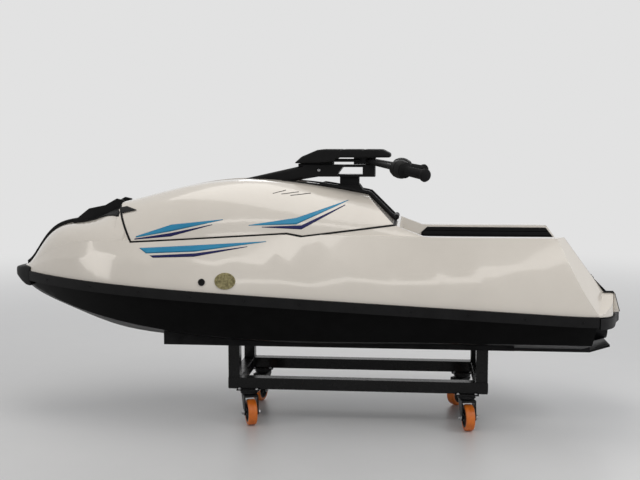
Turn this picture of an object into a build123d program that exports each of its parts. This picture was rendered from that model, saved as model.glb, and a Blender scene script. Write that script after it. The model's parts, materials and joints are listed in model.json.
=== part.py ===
"""Stand-up personal watercraft parked on its rolling display cart.

Frame: +X to the bow, +Y to port, +Z up, millimetres. The origin is on the floor below the middle of the
craft. The craft is built in its own keel frame, with height 0 at the keel, and is then lifted on to the
bunks of the cart. "h" is a height above the keel, and "up" is a height above the bond line of hull and deck.
"""

import math
import os

from build123d import *

# Hull and deck

BOW_X = 1170.0             # front end of the hull moulding
STERN_X = -1190.0          # rear end of the hull moulding
BOW_GUARD = 39.0           # bumper in front of the hull moulding
STERN_GUARD = 19.0         # bumper behind the hull moulding
BOND_H = 250.0             # bond line of hull and deck, amidships
BOND_SLOPE = 0.05          # rise of the bond line towards the bow
DEADRISE = 0.269           # rise of the hull bottom per unit of half breadth
RAIL_T = 12.0              # rub rail thickness
RAIL_H = 38.0              # rub rail height
BUMPER_H = 82.0            # bow bumper height
TRANSOM_INSET = 108.0      # hull's rear face ahead of the stern, at the rail
TRANSOM_RAKE = 32.0        # the foot of that face lies this much further ahead

TRAY_DROP = 54.0           # rider's floor below the bond line
TRAY_FLOOR_Y = 205.0       # half width of the floor
TRAY_DRAFT = 0.19          # lean of the tray walls, sideways and at the front
TRAY_FRONT_X = -425.0      # foot of the tray's front wall
GUNNEL_UP = 227.0          # top of the gunnels
GUNNEL_FRONT_X = -455.0    # front end of the gunnel tops
LEDGE_UP = 25.0            # stern ledge behind the gunnels
MAT_T = 9.0                # foam mat thickness
MAT_MARGIN = 2.0           # gunnel top to the mat's edge

HOOD_SETBACK = 435.0       # bow to the front of the hood
HOOD_TOP_REAR = (-240.0, 372.0)    # x, up where the hood's top turns down
HOOD_FOOT = (-345.0, 268.0)        # x, up of the hood's rear edge
SEAM_GAP = 6.0             # rubber seal between hood and deck
CONSOLE_HALF_W = 78.0
CONSOLE_T = 5.0
COVER_T = 5.0              # moulded cover round the pole bracket
SPINE_HALF_W = 24.0        # raised strip on the bow
SPINE_T = 9.0

BAY_X = (-250.0, 430.0)            # engine bay, rear and front
BAY_HALF_W = 236.0
BAY_FLOOR_H = 70.0
BAY_FLOOR_Y = 130.0
ENGINE_X = (-240.0, 240.0)
ENGINE_HALF_W = 125.0
ENGINE_TALL = 360.0

# Handle pole and steering

PIVOT_AHEAD = 50.0                 # pole hinge ahead of the hood's front
POCKET_UP = 239.0                  # pocket in the bow deck for the pole bracket
BRACKET_WALL = 12.0
EYE_CLEAR = 4.0                    # below the pole's eye
POLE_EYE_R = 27.0
POLE_ANGLE = 12.7                  # resting tilt of the pole, degrees
POLE_W = 92.0
POLE_T = 54.0
POLE_SIDE_GAP = 7.0                # pole to bracket cheek
POLE_GAP = 14.0                    # room in the hood beside and below the pole
PIN_R = 10.0
PIN_FIT = 0.05                     # radial clearance on pins and shafts

HEAD_FRONT_X = 20.0                # pole head
HEAD_LEN = 284.0
HEAD_BELOW = 16.5                  # head's underside below the middle of the pole
HEAD_T = 47.0
HEAD_ARM = 9.0                     # arms above and below the window in the head
STEM_R = 14.0
STEM_BOSS = 24.0                   # steering axis to the head's rear end
BAR_RISE = 15.0                    # head's top to the middle of the bar
BAR_R = 11.0
BAR_HALF_W = 345.0
BAR_SWEEP = 222.0                  # how far the bar ends lie aft of the clamp
BAR_DROP = 46.0                    # how far they lie below it
GRIP_R = 18.0
GRIP_L = 124.0
HOUSING = 46.0                     # switch and throttle housings
PAD_GAP = 3.0                      # bar to pad
PAD_T = 32.0
PAD_AHEAD = 295.0                  # steering axis to the pad's front
PAD_BEHIND = 86.0
PAD_HALF_W = 105.0

# Jet pump

PUMP_R = 70.0                      # bore of the pump
PUMP_WALL = 5.0
PUMP_LEN = 385.0                   # pump's front flange to the nozzle hinge
HUB_R = 30.0
SHAFT_R = 12.0
IMPELLER_GAP = 5.0
BLADE_T = 5.0
OUTLET_R = 44.0
OUTLET_WALL = 9.0
NOZZLE_INSET = 137.0               # nozzle hinge ahead of the stern
NOZZLE_LEN = 121.0
NOZZLE_GAP = 17.0                  # room for the nozzle to turn on the outlet
NOZZLE_WALL = 5.0
NOZZLE_PIN_R = 8.0
TUNNEL_Y = 100.0                   # half width of the pump tunnel
FLOOR_T = 12.0                     # rider's floor over the tunnel
TURN_GAP = 5.0                     # nozzle to the tunnel's roof and to the ride plate
PLATE_T = 8.0                      # ride plate
PLATE_RISE = 24.0                  # rise of its rear end

# Cart

WHEEL_R = 50.0
WHEEL_W = 34.0
TREAD_T = 12.0
AXLE_R = 6.0
CASTER_H = 138.0                   # floor to the rail's underside
CASTER_TRAIL = 34.0
CASTER_PLATE_T = 5.0
CASTER_INSET = 78.0                # rail end to the swivel axis
FORK_T = 5.0
FORK_GAP = 6.0                     # wheel to fork leg
TUBE = 44.0                        # square tube
RAIL_LEN = 999.0
RAIL_X = -204.5                    # middle of the cart
RAIL_Y = 182.0                     # middle of each side rail
POST_H = 127.0
BUNK_W = 56.0
BUNK_T = 10.0                      # bunk thickness under the hull, at the rail's middle
BUNK_FRONT_X = 548.0
BUNK_REAR_X = -800.0
SEAT_GAP = 0.3                     # room left between pieces that rest on each other

# Places that follow from the dimensions

KEEL_Z = CASTER_H + TUBE + POST_H + BUNK_T + SEAT_GAP - RAIL_Y * DEADRISE
HOOD_FRONT_X = BOW_X - HOOD_SETBACK
PIVOT_X = HOOD_FRONT_X + PIVOT_AHEAD
POCKET_H = BOND_H + POCKET_UP
PIVOT_H = POCKET_H + BRACKET_WALL + EYE_CLEAR + POLE_EYE_R
SLOT_HALF = POLE_W / 2 + POLE_SIDE_GAP
BRACKET_HALF = SLOT_HALF + BRACKET_WALL
GUNNEL_H = BOND_H + GUNNEL_UP
TRAY_FLOOR_H = BOND_H - TRAY_DROP
TUNNEL_ROOF_H = TRAY_FLOOR_H - FLOOR_T
STEER_X = HEAD_FRONT_X - HEAD_LEN + STEM_BOSS
NOZZLE_X = STERN_X + NOZZLE_INSET
PUMP_FRONT_X = NOZZLE_X + PUMP_LEN
PUMP_OUT_R = PUMP_R + PUMP_WALL
NOZZLE_IN_R = OUTLET_R + OUTLET_WALL + NOZZLE_GAP
NOZZLE_OUT_R = NOZZLE_IN_R + NOZZLE_WALL
PUMP_H = TUNNEL_ROOF_H - TURN_GAP - NOZZLE_OUT_R     # height of the pump axis
PLATE_H = PUMP_H - NOZZLE_OUT_R - TURN_GAP - PLATE_T
RAIL_TOP = CASTER_H + TUBE
POST_TOP = RAIL_TOP + POST_H
FAR = 2000.0                       # reach of a cut that goes right through

# Section tables. The hull and the deck sides share the stations.

# aft of the bow, bond_y, chine_y, chine_down, keel_down, waist_y, waist_up, shoulder_y, shoulder_up
FORE_STATIONS = [
    (0, 62, 34, 43, 65, 59, 3, 54, 8),
    (73, 128, 78, 73, 111, 121, 25, 106, 47),
    (180, 198, 134, 105, 153, 187, 61, 164, 111),
    (380, 286, 216, 142, 217, 273, 84, 238, 158),
    (650, 346, 284, 167, 243, 332, 73, 276, 179),
]

# ahead of the stern, bond_y, chine_y, waist_y, waist_up, shoulder_y at the gunnel's height
AFT_STATIONS = [
    (1342, 372, 318, 360, 73, 288),
    (792, 374, 322, 364, 80, 300),
    (292, 370, 320, 360, 88, 310),
    (152, 360, 312, 351, 84, 305),
    (92, 339, 292, 331, 81, 291),
    (44, 280, 242, 274, 79, 245),
    (0, 128, 111, 125, 77, 114),
]

# x, shoulder_y, shoulder_up, cheek_y, cheek_up, ridge_y, ridge_up, crown_up
BOW_CROWN = [
    (BOW_X, 54, 8, 44, 12, 26, 15, 16),
    (BOW_X - 73, 106, 47, 80, 76, 40, 94, 98),
    (BOW_X - 130, 138, 85, 102, 137, 48, 163, 167),
    (BOW_X - 210, 175, 121, 130, 177, 60, 198, 202),
    (BOW_X - 320, 218, 148, 158, 206, 74, 223, 227),
    (HOOD_FRONT_X - 45, 257, 168, 192, 233, 94, 254, 258),
]
HOOD_CROWN = [
    (HOOD_FRONT_X, 246, 150, 188, 242, 98, 297, 303),
    (500, 276, 170, 216, 292, 112, 367, 374),
    (240, 284, 199, 226, 332, 118, 412, 419),
    (0, 288, 218, 230, 337, 120, 407, 415),
    (-250, 294, 225, 234, 329, 122, 377, 385),
    (-470, 298, 227, 238, 305, 124, 337, 343),
]

# x, up from the middle of the bond line, along the seam between hood and deck, from the front
SEAM = [(HOOD_FRONT_X + 23, 356), (HOOD_FRONT_X - 73, 191), (58, 231), (0, 221), (-345, 265), (-500, 284)]

# The gunnel ends lie in a plane through three points: ahead of the stern, y, up from the middle bond line.
GUNNEL_END = [(254, 310, 227), (105, 350, -51), (71, 218, 26)]

# x, up, outer radius, bore radius, height above the surface of the round fittings in the port side
OUTLET_FITTING = (365, 38, 13, 7, 3)
DISC_FITTING = (276, 48, 33, 0, 2)

# name, end of the cart (+1 front), side (+1 port), swivel angle in degrees
CASTERS = [
    ("front_left", 1, 1, 110),
    ("front_right", 1, -1, 75),
    ("rear_left", -1, 1, 100),
    ("rear_right", -1, -1, 50),
]


# Small helpers

def bond_h(x):
    """Height of the bond line at station x."""
    return BOND_H + BOND_SLOPE * x


def prism_y(points, y0, y1):
    """Solid from an x, h outline, between two values of y."""
    outline = Polyline(*[(x, y0, h) for x, h in points], close=True)
    return extrude(make_face(outline), amount=y1 - y0, dir=(0, 1, 0))


def prism_x(points, x0, x1):
    """Solid from a y, h outline, between two values of x."""
    outline = Polyline(*[(x0, y, h) for y, h in points], close=True)
    return extrude(make_face(outline), amount=x1 - x0, dir=(1, 0, 0))


def prism_z(points):
    """Tall solid from an x, y outline on the port side and its mirror image."""
    outline = list(points) + [(x, -y) for x, y in reversed(points)]
    return extrude(make_face(Polyline(*outline, close=True)), amount=FAR, dir=(0, 0, 1))


def block(x, y, h):
    """Box from three (low, high) pairs."""
    middle = Pos((x[0] + x[1]) / 2, (y[0] + y[1]) / 2, (h[0] + h[1]) / 2)
    return middle * Box(x[1] - x[0], y[1] - y[0], h[1] - h[0])


def wide_block(x, half, h):
    """Box that is as wide to port as to starboard."""
    return block(x, (-half, half), h)


def rod(start, end, radius):
    """Round bar between two points."""
    a, b = Vector(*start), Vector(*end)
    upright = Cylinder(radius, (b - a).length, align=(Align.CENTER, Align.CENTER, Align.MIN))
    return Plane(origin=a, z_dir=b - a) * upright


def cross_rod(x, h, half, radius):
    """Round bar across the craft."""
    return rod((x, -half, h), (x, half, h), radius)


def both_sides(solid):
    """A solid and its mirror image on the other side."""
    return [solid, mirror(solid, about=Plane.XZ)]


def cut_by(solid, *cutters):
    """A solid less each of the others."""
    for cutter in cutters:
        solid = solid - cutter
    return solid


def above(points):
    """Everything over a line of x, h points, between its ends."""
    return prism_y(points + [(points[-1][0], FAR), (points[0][0], FAR)], -FAR, FAR)


# Lofted bodies

def station_face(x, half):
    """Face of a station with straight runs through half, (y, h) points from the lowest to the highest."""
    port = [(x, y, h) for y, h in half]
    board = [(x, -y, h) for y, h in reversed(half) if y > 0]
    return make_face(Polyline(*port, *board, close=True))


def crown_face(x, shoulder, cheek, ridge, crown_h):
    """Face of a deck crown: an arc from shoulder over cheek to ridge on both sides, and a flat arc on top."""
    port = [(x, y, h) for y, h in (shoulder, cheek, ridge)]
    board = [(x, -y, h) for y, h in (ridge, cheek, shoulder)]
    sink = 0.6 * (shoulder[1] - bond_h(x))
    foot_y, foot_h = shoulder[0] - sink / 4, shoulder[1] - sink
    edges = [
        Line((x, foot_y, foot_h), port[0]),
        ThreePointArc(*port),
        ThreePointArc(port[2], (x, 0, crown_h), board[0]),
        ThreePointArc(*board),
        Line(board[2], (x, -foot_y, foot_h)),
        Line((x, -foot_y, foot_h), (x, foot_y, foot_h)),
    ]
    return make_face(Wire(edges))


def hull_body():
    """The whole hull below the bond line."""
    faces = []
    for aft, bond_y, chine_y, chine_down, keel_down, *deck_side in FORE_STATIONS:
        x = BOW_X - aft
        keel, chine = (0, bond_h(x) - keel_down), (chine_y, bond_h(x) - chine_down)
        faces.append(station_face(x, [keel, chine, (bond_y, bond_h(x) - SEAT_GAP)]))
    for ahead, bond_y, chine_y, *deck_side in AFT_STATIONS:
        x = STERN_X + ahead
        chine = (chine_y, chine_y * DEADRISE)
        faces.append(station_face(x, [(0, 0), chine, (bond_y, bond_h(x) - SEAT_GAP)]))
    return loft(faces)


def side_body():
    """The deck's sides from the bond line to the shoulder, filled across."""
    faces = []
    for aft, bond_y, *hull_half, waist_y, waist_up, shoulder_y, shoulder_up in FORE_STATIONS:
        x = BOW_X - aft
        waist, shoulder = (waist_y, bond_h(x) + waist_up), (shoulder_y, bond_h(x) + shoulder_up)
        faces.append(station_face(x, [(bond_y, bond_h(x)), waist, shoulder]))
    for ahead, bond_y, chine_y, waist_y, waist_up, shoulder_y in AFT_STATIONS:
        x = STERN_X + ahead
        waist = (waist_y, bond_h(x) + waist_up)
        faces.append(station_face(x, [(bond_y, bond_h(x)), waist, (shoulder_y, GUNNEL_H)]))
    return loft(faces)


def crown_body(stations):
    """A crowned deck body through its stations."""
    faces = []
    for x, shoulder_y, shoulder_up, cheek_y, cheek_up, ridge_y, ridge_up, crown_up in stations:
        base = bond_h(x)
        shoulder, cheek, ridge = (shoulder_y, shoulder_up), (cheek_y, cheek_up), (ridge_y, ridge_up)
        points = [(y, base + up) for y, up in (shoulder, cheek, ridge)]
        faces.append(crown_face(x, *points, base + crown_up))
    return loft(faces)


def guard_ring(thick, low, high, tip=None):
    """Band around the bond line, from low to high about it, that may end in a tip (x, y) at the stern."""
    rows = [(BOW_X - aft, bond_y + thick) for aft, bond_y, *rest in FORE_STATIONS]
    rows += [(STERN_X + ahead, bond_y + thick) for ahead, bond_y, *rest in AFT_STATIONS]
    rows += [tip] if tip else []
    return loft([station_face(x, [(y, bond_h(x) + low), (y, bond_h(x) + high)]) for x, y in rows])


hull_loft = hull_body()
side_loft = side_body()
bow_loft = crown_body(BOW_CROWN)
hood_loft = crown_body(HOOD_CROWN)

# Cuts that several mouldings share

seam_low = [(x, BOND_H + up) for x, up in SEAM]
seam_top = [(x - 0.66 * SEAM_GAP, h + 0.83 * SEAM_GAP) for x, h in seam_low]
top_rear = (HOOD_TOP_REAR[0], BOND_H + HOOD_TOP_REAR[1])
hood_foot = (HOOD_FOOT[0], BOND_H + HOOD_FOOT[1])
rear_slope = above([top_rear, hood_foot, (GUNNEL_FRONT_X, GUNNEL_H), (GUNNEL_FRONT_X - 65, GUNNEL_H)])

pole_turn = math.radians(POLE_ANGLE)
pole_frame = Plane(
    (PIVOT_X, 0, PIVOT_H),
    x_dir=(-math.cos(pole_turn), 0, math.sin(pole_turn)),
    z_dir=(math.sin(pole_turn), 0, math.cos(pole_turn)),
)
groove_half = POLE_W / 2 + POLE_GAP
groove = pole_frame.location * wide_block((0, 1000), groove_half, (-POLE_T / 2 - POLE_GAP, 300))
pocket = wide_block((HOOD_FRONT_X - 20, PIVOT_X + 65), BRACKET_HALF, (POCKET_H, FAR))
tunnel = wide_block((STERN_X - 50, PUMP_FRONT_X), TUNNEL_Y, (-FAR, TUNNEL_ROOF_H))
duct = rod((PUMP_FRONT_X - 1, 0, PUMP_H), (PUMP_FRONT_X + 420, 0, PUMP_H - 153), PUMP_R - 2)


def wall_y(h):
    """Half width of the tray at a height."""
    return TRAY_FLOOR_Y + TRAY_DRAFT * (h - TRAY_FLOOR_H)


def tray_space():
    """The open tray, out through the stern."""
    port = [(TRAY_FLOOR_Y, TRAY_FLOOR_H), (wall_y(FAR), FAR)]
    section = [(-y, h) for y, h in reversed(port)] + port
    stern = STERN_X - 50
    front_top = TRAY_FRONT_X + TRAY_DRAFT * (FAR - TRAY_FLOOR_H)
    profile = [(TRAY_FRONT_X, TRAY_FLOOR_H), (front_top, FAR), (stern, FAR), (stern, TRAY_FLOOR_H)]
    return prism_x(section, stern, front_top) & prism_y(profile, -FAR, FAR)


def bay_space():
    """The engine bay, narrowed at the floor."""
    knee_h = BAY_FLOOR_H + 90
    top_h = GUNNEL_H + 77
    port = [(BAY_FLOOR_Y, BAY_FLOOR_H), (BAY_HALF_W, knee_h), (BAY_HALF_W, top_h)]
    return prism_x(port + [(-y, h) for y, h in reversed(port)], *BAY_X)


def gunnel_end():
    """What is cut off behind the port gunnel, down to a ledge that falls off towards the side."""
    top, outer, inner = [Vector(STERN_X + ahead, y, BOND_H + up) for ahead, y, up in GUNNEL_END]
    across = inner - outer
    plane = Plane(outer, x_dir=across, z_dir=across.cross(top - outer))
    behind = plane * Box(FAR, FAR, FAR / 2, align=(Align.CENTER, Align.CENTER, Align.MIN))
    ledge_h = BOND_H + LEDGE_UP
    over_ledge = [(0, FAR), (0, ledge_h), (inner.Y, ledge_h), (outer.Y, outer.Z), (FAR, outer.Z), (FAR, FAR)]
    return behind & prism_x(over_ledge, STERN_X - 60, GUNNEL_FRONT_X)


tray = tray_space()
bay = bay_space()


# Hull, deck and hood

def make_hull():
    """Hull with the pump tunnel and its intake, cut back under the rail at the stern."""
    top_x = STERN_X + TRANSOM_INSET
    shelf_h = bond_h(top_x) - RAIL_H - 4
    transom = [(top_x, shelf_h), (top_x + TRANSOM_RAKE, -60), (STERN_X - 60, -60), (STERN_X - 60, shelf_h)]
    shaft_bore = rod((PUMP_FRONT_X - 1, 0, PUMP_H), (BAY_X[0] + 1, 0, PUMP_H), SHAFT_R + 5)
    return cut_by(hull_loft, tray, bay, tunnel, duct, shaft_bore, prism_y(transom, -FAR, FAR))


def make_deck():
    """Bow deck, sides and gunnels in one moulding."""
    front_x = HOOD_FRONT_X + 40
    under_seam = seam_low + [(seam_low[-1][0], BOND_H), (front_x, BOND_H), (front_x, seam_low[0][1])]
    deck = side_loft + bow_loft + (hood_loft & prism_y(under_seam, -FAR, FAR))
    deck = cut_by(deck, above(seam_low[:-1]), rear_slope, tray, bay, pocket, groove)
    return cut_by(deck, *both_sides(gunnel_end()))


hull = make_hull()
deck = make_deck()
hood_shell = (hood_loft & above(seam_top)) - rear_slope
hood_inside = wide_block((-200, 380), 165, (GUNNEL_H - 80, BOND_H + 304))
hood = cut_by(hood_shell, groove, hood_inside)
seal_inside = wide_block((-230, HOOD_FRONT_X - 105), 225, (GUNNEL_H - 80, GUNNEL_H + 120))
seal_band = hood_loft & prism_y(seam_low + seam_top[::-1], -FAR, FAR)
hood_seal = cut_by(seal_band, rear_slope, seal_inside, groove)


def make_console():
    """Black panel down the middle of the hood's rear slope."""
    lifted = Pos(-CONSOLE_T, 0, CONSOLE_T) * hood_shell
    panel = lifted & wide_block((HOOD_FOOT[0] - 6, -60), CONSOLE_HALF_W, (GUNNEL_H + 47, FAR))
    return cut_by(panel, hood_shell, hood_seal, groove)


def make_spine():
    """Raised strip along the bow, in front of the pole bracket."""
    lifted = Pos(4, 0, SPINE_T) * bow_loft
    return (lifted & wide_block((PIVOT_X + 167, BOW_X - 12), SPINE_HALF_W, (BOND_H, FAR))) - bow_loft


def make_cover():
    """Thin moulded covers on the bow deck, one each side of the pole bracket."""
    front_x, rear_x = PIVOT_X + 164, HOOD_FRONT_X + 6
    plan = [(front_x, 44), (PIVOT_X + 60, 98), (rear_x, 164)]
    lifted = (Pos(0, 0, COVER_T) * bow_loft) & prism_z(plan)
    well = wide_block((rear_x - 5, front_x + 5), BRACKET_HALF + SEAT_GAP, (0, FAR))
    return cut_by(lifted, bow_loft, well, hood_loft)


def make_vents():
    """Pointed black vents on the hood's front shoulders."""
    tip, low, front, high = (-78, 312), (-20, 299), (-2, 318), (-28, 324)
    outline = [(HOOD_FRONT_X + x, BOND_H + up) for x, up in (tip, low, front, high)]
    vent = (Pos(0, 3, 3) * hood_shell) & prism_y(outline, groove_half + 10, FAR)
    return both_sides(cut_by(vent, hood_loft))


hood_console = make_console()
bow_spine = make_spine()
bow_cover = make_cover()

# Bumpers and rails round the bond line

RAIL_FRONT_X = BOW_X - 52
RAIL_REAR_X = STERN_X + 104
JOINT_GAP = 4.0


def off_shell(solid):
    """A band less the mouldings that it runs round."""
    bond_sheet = guard_ring(-1, -1, 1)
    return cut_by(solid, hull_loft, side_loft, bow_loft, bond_sheet)


def make_bow_bumper():
    """Rounded bumper on the nose."""
    nose = [(BOW_X + BOW_GUARD, 14), (BOW_X + 0.7 * BOW_GUARD, 52), (BOW_X, 82), (BOW_X - 73, 141)]
    faces = []
    for x, y in nose:
        top = bond_h(x) + BUMPER_H / 4
        faces.append(station_face(x, [(y, top - BUMPER_H), (y + 4, top - BUMPER_H / 2), (y, top)]))
    band = loft(faces) & wide_block((RAIL_FRONT_X + JOINT_GAP, BOW_X + FAR), FAR, (0, FAR))
    return off_shell(band) - bow_spine


def make_stern_bumper():
    """Bumper round the stern, notched over the nozzle."""
    tip = (STERN_X - STERN_GUARD, 50)
    behind = wide_block((STERN_X - FAR, RAIL_REAR_X - JOINT_GAP), FAR, (0, FAR))
    band = guard_ring(RAIL_T, -RAIL_H - 6, -4, tip) & behind
    return off_shell(band) - tunnel


rail_band = guard_ring(RAIL_T, 2 - RAIL_H, 2) & wide_block((RAIL_REAR_X, RAIL_FRONT_X), FAR, (0, FAR))
rub_rails = off_shell(rail_band)
bow_bumper = make_bow_bumper()
stern_bumper = make_stern_bumper()

# Mats and engine

tray_mat = wide_block(
    (STERN_X + 42, TRAY_FRONT_X - 6), TRAY_FLOOR_Y - 5, (TRAY_FLOOR_H, TRAY_FLOOR_H + MAT_T)
)


def make_side_mat():
    """Foam mat on the port wall of the tray."""
    low, high = TRAY_FLOOR_H + 22, GUNNEL_H - MAT_MARGIN
    outer = [(wall_y(low), low), (wall_y(high), high)]
    inner = [(y - MAT_T, h) for y, h in reversed(outer)]
    front = GUNNEL_FRONT_X + 6
    profile = [(front, low), (front, high - 24), (front - 26, high)]
    profile += [(STERN_X + 224, high), (STERN_X + 126, high - 129), (STERN_X + 57, BOND_H + LEDGE_UP)]
    profile += [(STERN_X + 57, low)]
    return prism_x(outer + inner, STERN_X, TRAY_FRONT_X) & prism_y(profile, 0, FAR)


side_mat = make_side_mat()
engine_block = wide_block(ENGINE_X, ENGINE_HALF_W, (BAY_FLOOR_H + SEAT_GAP, BAY_FLOOR_H + ENGINE_TALL))


# Jet pump

def turned(points):
    """Solid of revolution on the pump axis from x, radius points."""
    face = make_face(Polyline(*[(x, 0, PUMP_H + r) for x, r in points], close=True))
    return revolve(face, axis=Axis((0, 0, PUMP_H), (1, 0, 0)))


CONE_FRONT_X = NOZZLE_X + 140      # the housing narrows from here
CONE_REAR_X = NOZZLE_X + 72
OUTLET_END_X = NOZZLE_X - 17
STATOR_X = (CONE_FRONT_X, CONE_FRONT_X + 85)
IMPELLER_R = PUMP_R - IMPELLER_GAP
IMPELLER_X = (STATOR_X[1] + 10, PUMP_FRONT_X - 10)


def make_pump_housing():
    """Pump bore and outlet with the stator vanes, its hub and the two pins of the nozzle."""
    outer = OUTLET_R + OUTLET_WALL
    housing = turned([
        (PUMP_FRONT_X, PUMP_R), (PUMP_FRONT_X, PUMP_OUT_R), (CONE_FRONT_X, PUMP_OUT_R), (CONE_REAR_X, outer),
        (OUTLET_END_X, outer), (OUTLET_END_X, OUTLET_R), (CONE_REAR_X, OUTLET_R), (CONE_FRONT_X, PUMP_R),
    ])
    hub_tail = CONE_REAR_X + 3
    housing = housing + turned([
        (STATOR_X[1], 0), (STATOR_X[1], HUB_R), (STATOR_X[0], HUB_R), (hub_tail, 6), (hub_tail, 0),
    ])
    vane_x = (STATOR_X[0] + STATOR_X[1]) / 2
    vane = Pos(0, 0, (HUB_R + PUMP_R) / 2) * Box(STATOR_X[1] - STATOR_X[0] - 9, BLADE_T, PUMP_R - HUB_R + 6)
    for number in range(6):
        housing = housing + Pos(vane_x, 0, PUMP_H) * Rot(number * 60 + 15, 0, 0) * vane
    for side in (1, -1):
        foot, tip = PUMP_H + side * (OUTLET_R + 5), PUMP_H + side * (NOZZLE_OUT_R + 4)
        housing = housing + rod((NOZZLE_X, 0, foot), (NOZZLE_X, 0, tip), NOZZLE_PIN_R)
    return housing


def make_nozzle():
    """Tapered steering nozzle that turns on the pins of the outlet."""
    front, knee, end = NOZZLE_X + 26, NOZZLE_X - 27, NOZZLE_X - NOZZLE_LEN
    nozzle = turned([
        (front, NOZZLE_IN_R), (front, NOZZLE_OUT_R), (knee, NOZZLE_OUT_R), (end, OUTLET_R + 4),
        (end, OUTLET_R - 2), (knee, NOZZLE_IN_R),
    ])
    reach = NOZZLE_OUT_R + 20
    pins = rod((NOZZLE_X, 0, PUMP_H - reach), (NOZZLE_X, 0, PUMP_H + reach), NOZZLE_PIN_R + PIN_FIT)
    return nozzle - pins


def make_impeller():
    """Hub with three twisted blades, on the drive shaft from the engine."""
    rear, front = IMPELLER_X
    impeller = turned([(front, 0), (front, SHAFT_R + 4), (front - 30, HUB_R), (rear, HUB_R), (rear, 0)])
    root_h = (HUB_R + IMPELLER_R) / 2 - 4
    stations, twist = 5, 28
    pitch = (front - rear - 36) / (stations - 1)
    for number in range(3):
        faces = []
        for step in range(stations):
            turn = Pos(front - 26 - pitch * step, 0, PUMP_H) * Rot(number * 120 + twist * step, 0, 0)
            blade = Plane.YZ.location * Rectangle(BLADE_T, IMPELLER_R - HUB_R + 8)
            faces.append(turn * Pos(0, 0, root_h) * blade)
        impeller = impeller + loft(faces)
    return impeller + rod((front - 5, 0, PUMP_H), (ENGINE_X[0] - SEAT_GAP, 0, PUMP_H), SHAFT_R)


def make_ride_plate():
    """Plate that closes the tunnel below the pump, with a flange up each side and a raised rear end."""
    half = TUNNEL_Y - SEAT_GAP
    front, end = PUMP_FRONT_X - SEAT_GAP, NOZZLE_X - NOZZLE_LEN
    knee = NOZZLE_X - 45
    low = [(front, PLATE_H), (knee, PLATE_H), (end, PLATE_H + PLATE_RISE)]
    plate = prism_y(low + [(x, h + PLATE_T) for x, h in reversed(low)], -half, half)
    flange = block((knee, front), (half - 5, half), (PLATE_H, PLATE_H + 44))
    for piece in both_sides(flange):
        plate = plate + piece
    room = PUMP_OUT_R + 1
    return plate - turned([(PUMP_FRONT_X, 0), (PUMP_FRONT_X, room), (CONE_FRONT_X, room), (CONE_FRONT_X, 0)])


def make_grate():
    """Three bars and a tie across the mouth of the intake."""
    bar_y, bar_half, bar_h = 36, 4, 12
    grate = block((PUMP_FRONT_X + 200, PUMP_FRONT_X + 212), (-60, 60), (12, 22)) & duct
    for y in (-bar_y, 0, bar_y):
        low = DEADRISE * abs(y) + 3
        bar = block((PUMP_FRONT_X - 10, PUMP_FRONT_X + 420), (y - bar_half, y + bar_half), (low, low + bar_h))
        grate = grate + (bar & duct)
    return grate


def side_fitting(x, up, outer, inner, proud):
    """Round fitting that stands proud of the port side of the deck."""
    h = bond_h(x) + up
    disc = rod((x, 300, h), (x, 420, h), outer)
    if inner:
        disc = disc - rod((x, 290, h), (x, 430, h), inner)
    return ((Pos(0, proud, 0) * side_loft) & disc) - Pos(0, SEAT_GAP, 0) * side_loft


# Handle pole

def pole_h(x):
    """Height of the pole's middle line at x."""
    return PIVOT_H + (PIVOT_X - x) * math.tan(pole_turn)


HEAD_REAR_X = HEAD_FRONT_X - HEAD_LEN
HEAD_LOW_H = pole_h(HEAD_FRONT_X) - HEAD_BELOW
HEAD_TOP_H = HEAD_LOW_H + HEAD_T
PIN_HALF = BRACKET_HALF - 1
pivot_hole = cross_rod(PIVOT_X, PIVOT_H, PIN_HALF, PIN_R + PIN_FIT)


def make_bracket():
    """Cast bracket on the bow deck with a cheek each side of the pole."""
    rear = HOOD_FRONT_X + 8 - PIVOT_X
    floor = POCKET_H - PIVOT_H
    crest = [(165, -58), (165, -26), (128, 4), (100, 26), (32, 40), (-14, 66), (rear, 60), (rear, floor)]
    profile = [(PIVOT_X + x, PIVOT_H + up) for x, up in crest + [(65, floor), (65, -58)]]
    slot_h = (POCKET_H + BRACKET_WALL, FAR)
    slot = wide_block((HOOD_FRONT_X - 100, PIVOT_X + POLE_EYE_R + 19), SLOT_HALF, slot_h)
    return cut_by(prism_y(profile, -BRACKET_HALF, BRACKET_HALF), deck, slot, pivot_hole)


def make_beam():
    """Pole beam that widens from its eye to the head."""
    stations = [(6, 66, 44), (160, 80, 50), (420, POLE_W, POLE_T), (880, POLE_W, POLE_T)]
    faces = [
        pole_frame.location * Pos(along, 0, 0) * Plane.YZ.location * RectangleRounded(width, deep, 12)
        for along, width, deep in stations
    ]
    beam = loft(faces, ruled=True) & wide_block((HEAD_FRONT_X, FAR), FAR, (0, FAR))
    eye = cross_rod(PIVOT_X, PIVOT_H, SLOT_HALF - 6, POLE_EYE_R)
    return cut_by(beam + eye, pivot_hole)


def make_head():
    """Pole head: a block with a window through it, and the boss of the steering stem at its rear."""
    front_low = pole_h(HEAD_FRONT_X) - POLE_T / 2
    outline = [
        (HEAD_FRONT_X, front_low), (HEAD_FRONT_X - 62, HEAD_LOW_H), (HEAD_REAR_X, HEAD_LOW_H),
        (HEAD_REAR_X, HEAD_TOP_H), (HEAD_FRONT_X, HEAD_TOP_H),
    ]
    low, high = HEAD_LOW_H + HEAD_ARM, HEAD_TOP_H - HEAD_ARM
    window_rear, window_front = STEER_X + STEM_BOSS, HEAD_FRONT_X - 135
    window = [(window_front, low), (window_rear, low), (window_rear, high), (window_front - 22, high)]
    stem_hole = rod((STEER_X, 0, HEAD_LOW_H + HEAD_ARM), (STEER_X, 0, HEAD_TOP_H + 20), STEM_R + PIN_FIT)
    return cut_by(prism_y(outline, -POLE_W / 2, POLE_W / 2), prism_y(window, -FAR, FAR), stem_hole)


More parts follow.
